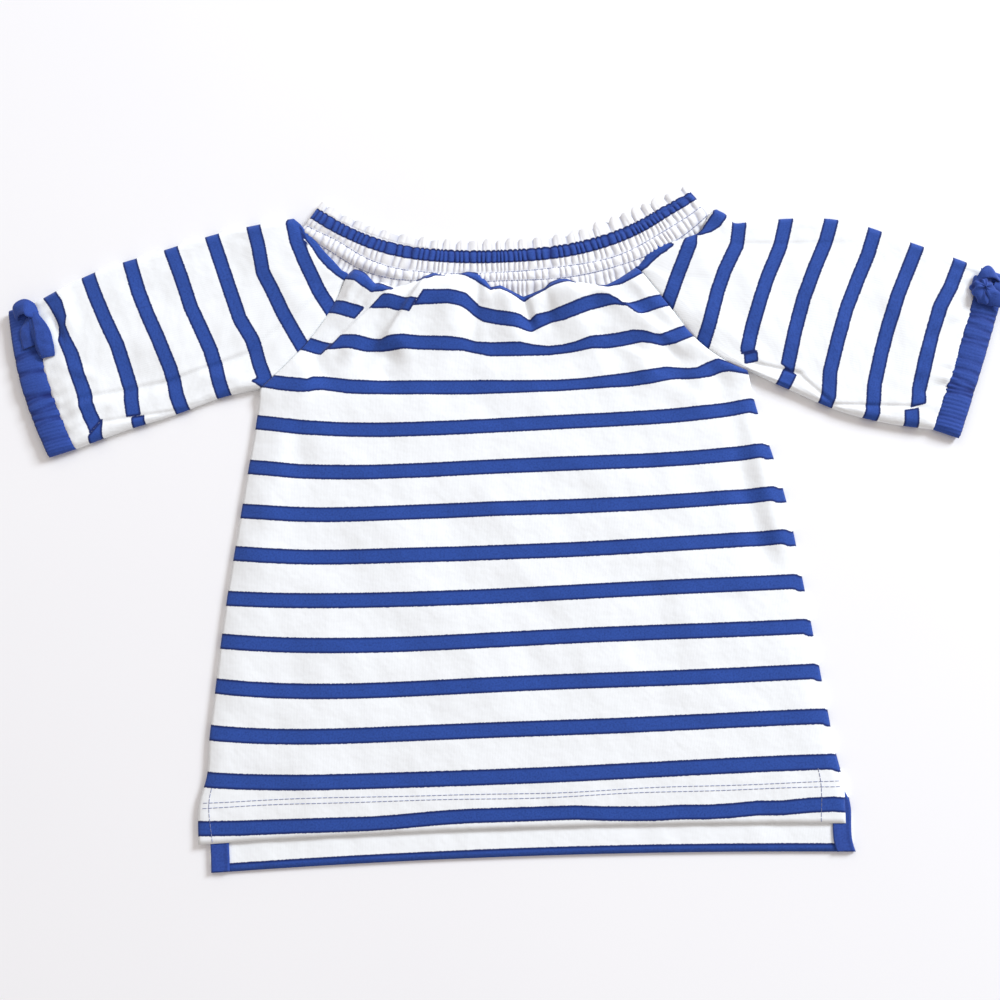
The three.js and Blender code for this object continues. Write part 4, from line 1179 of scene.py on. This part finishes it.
for side in sides:
    knot = add_knot(side + "_bow_knot", bow_knots[side])
    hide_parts(side + "_bow")
    for number, (part, rows) in enumerate(bow_ribbons[side].items()):
        ribbon = add_ribbon(f"{side}_bow_{part}", rows, seed=50 + number)


# The vent facings. A strip of the navy jersey covers the inside of the back panel's edge at each side
# vent, turned under along both its long edges and stitched down.
vent_width = 10.5
vent_length = 37
vent_inset = 0.3  # how far the facing keeps inside the back panel's edge
vent_level = 2.15  # height of its upper face
vent_thickness = 1.0


def make_facing(side):
    """A facing, its rows running down the side edge. Its top curves in a little, a low ridge follows
    each long side where the edge is turned under, and a shade line shows inside each ridge."""
    cross = np.linspace(0, 1, 13)
    down = np.linspace(back_length - vent_length, back_length - 0.6, 46)
    edge = side_point(back_sides, side, down)
    curve = 2 * np.exp(-((down - down[0]) / 6) ** 2)
    x = edge[:, :1] - outward[side] * (vent_inset + curve[:, None] + vent_width * cross)
    y = np.broadcast_to(edge[:, 1:], x.shape)
    ridge = np.exp(-((cross - 0.12) / 0.07) ** 2) + np.exp(-((cross - 0.88) / 0.07) ** 2)
    z = vent_level + 0.25 * ridge + 0.1 * waves(x, y, 9, 60)
    turn = slice(None, None, -outward[side])  # keeps the faces outward
    points = np.dstack([x, y, z])[:, turn]
    edge_lines = 0.5 * np.exp(-((cross - 0.5) ** 2 - 0.09) ** 2 / 0.0006)
    facing = add_shell(
        side + "_vent_facing", points, cuff_finish, points[..., :2],
        thickness=vent_thickness, stripe=plain_navy, painted_shade=edge_lines,
    )
    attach(facing, "root")
    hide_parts(side + "_vent_tape")


for side in sides:
    make_facing(side)


# The stitching. The front hem is turned up and held by two rows of grey-blue thread, and one row runs
# up beside each vent. Stitches are 2.5 mm long, as on such a hem, and are drawn a little thick.
hem_rows = [  # share of the width, then each row's distance above the hem
    (0, 23.2, 20.2), (0.25, 21.6, 18.8), (0.5, 19.6, 17.1), (0.75, 21.2, 18.6), (1, 23.2, 20.2),
]
hem_places = 118  # ends of stitches along a row, 2.9 mm apart
vent_rows = ((0.014, 0.022), (0.965, 0.962))  # share of the width at each row's upper and lower end
vent_row_length = 31
vent_places = 12
stitch_gap = 0.05
stitch_radius = 0.2
stitch_lift = 0.08


def on_front(share, below):
    """Points of the front's upper face at a share of its width and a distance below the underarm,
    straight between the points of its grid."""
    rows, columns = front_points.shape[:2]
    column = np.clip(share * (columns - 1), 0, columns - 1.001)
    row = np.interp(below, front_below[front_raglan_rows:, 0], np.arange(front_raglan_rows, rows))
    row = np.clip(row, 0, rows - 1.001)
    i, j = row.astype(int), column.astype(int)
    u, v = (row - i)[:, None], (column - j)[:, None]
    top = front_points[i, j] * (1 - v) + front_points[i, j + 1] * v
    bottom = front_points[i + 1, j] * (1 - v) + front_points[i + 1, j + 1] * v
    return top * (1 - u) + bottom * u


stitch_runs = []
for column in (1, 2):
    share = np.linspace(0.006, 0.994, hem_places)
    wander = 0.25 * np.sin(23 * share + column)
    row = on_front(share, front_length - read_curve(hem_rows, column, share) + wander)
    stitch_runs.append(dashes(row, stitch_gap))
for upper_share, lower_share in vent_rows:
    below = np.linspace(front_length - vent_row_length, front_length - 0.5, vent_places)
    row = on_front(np.linspace(upper_share, lower_share, vent_places), below)
    stitch_runs.append(dashes(row, stitch_gap))
hem_starts, hem_ends = (np.concatenate(ends) + [0, 0, stitch_lift] for ends in zip(*stitch_runs))
add_stitches("hem_stitches", hem_starts, hem_ends, stitch_radius)
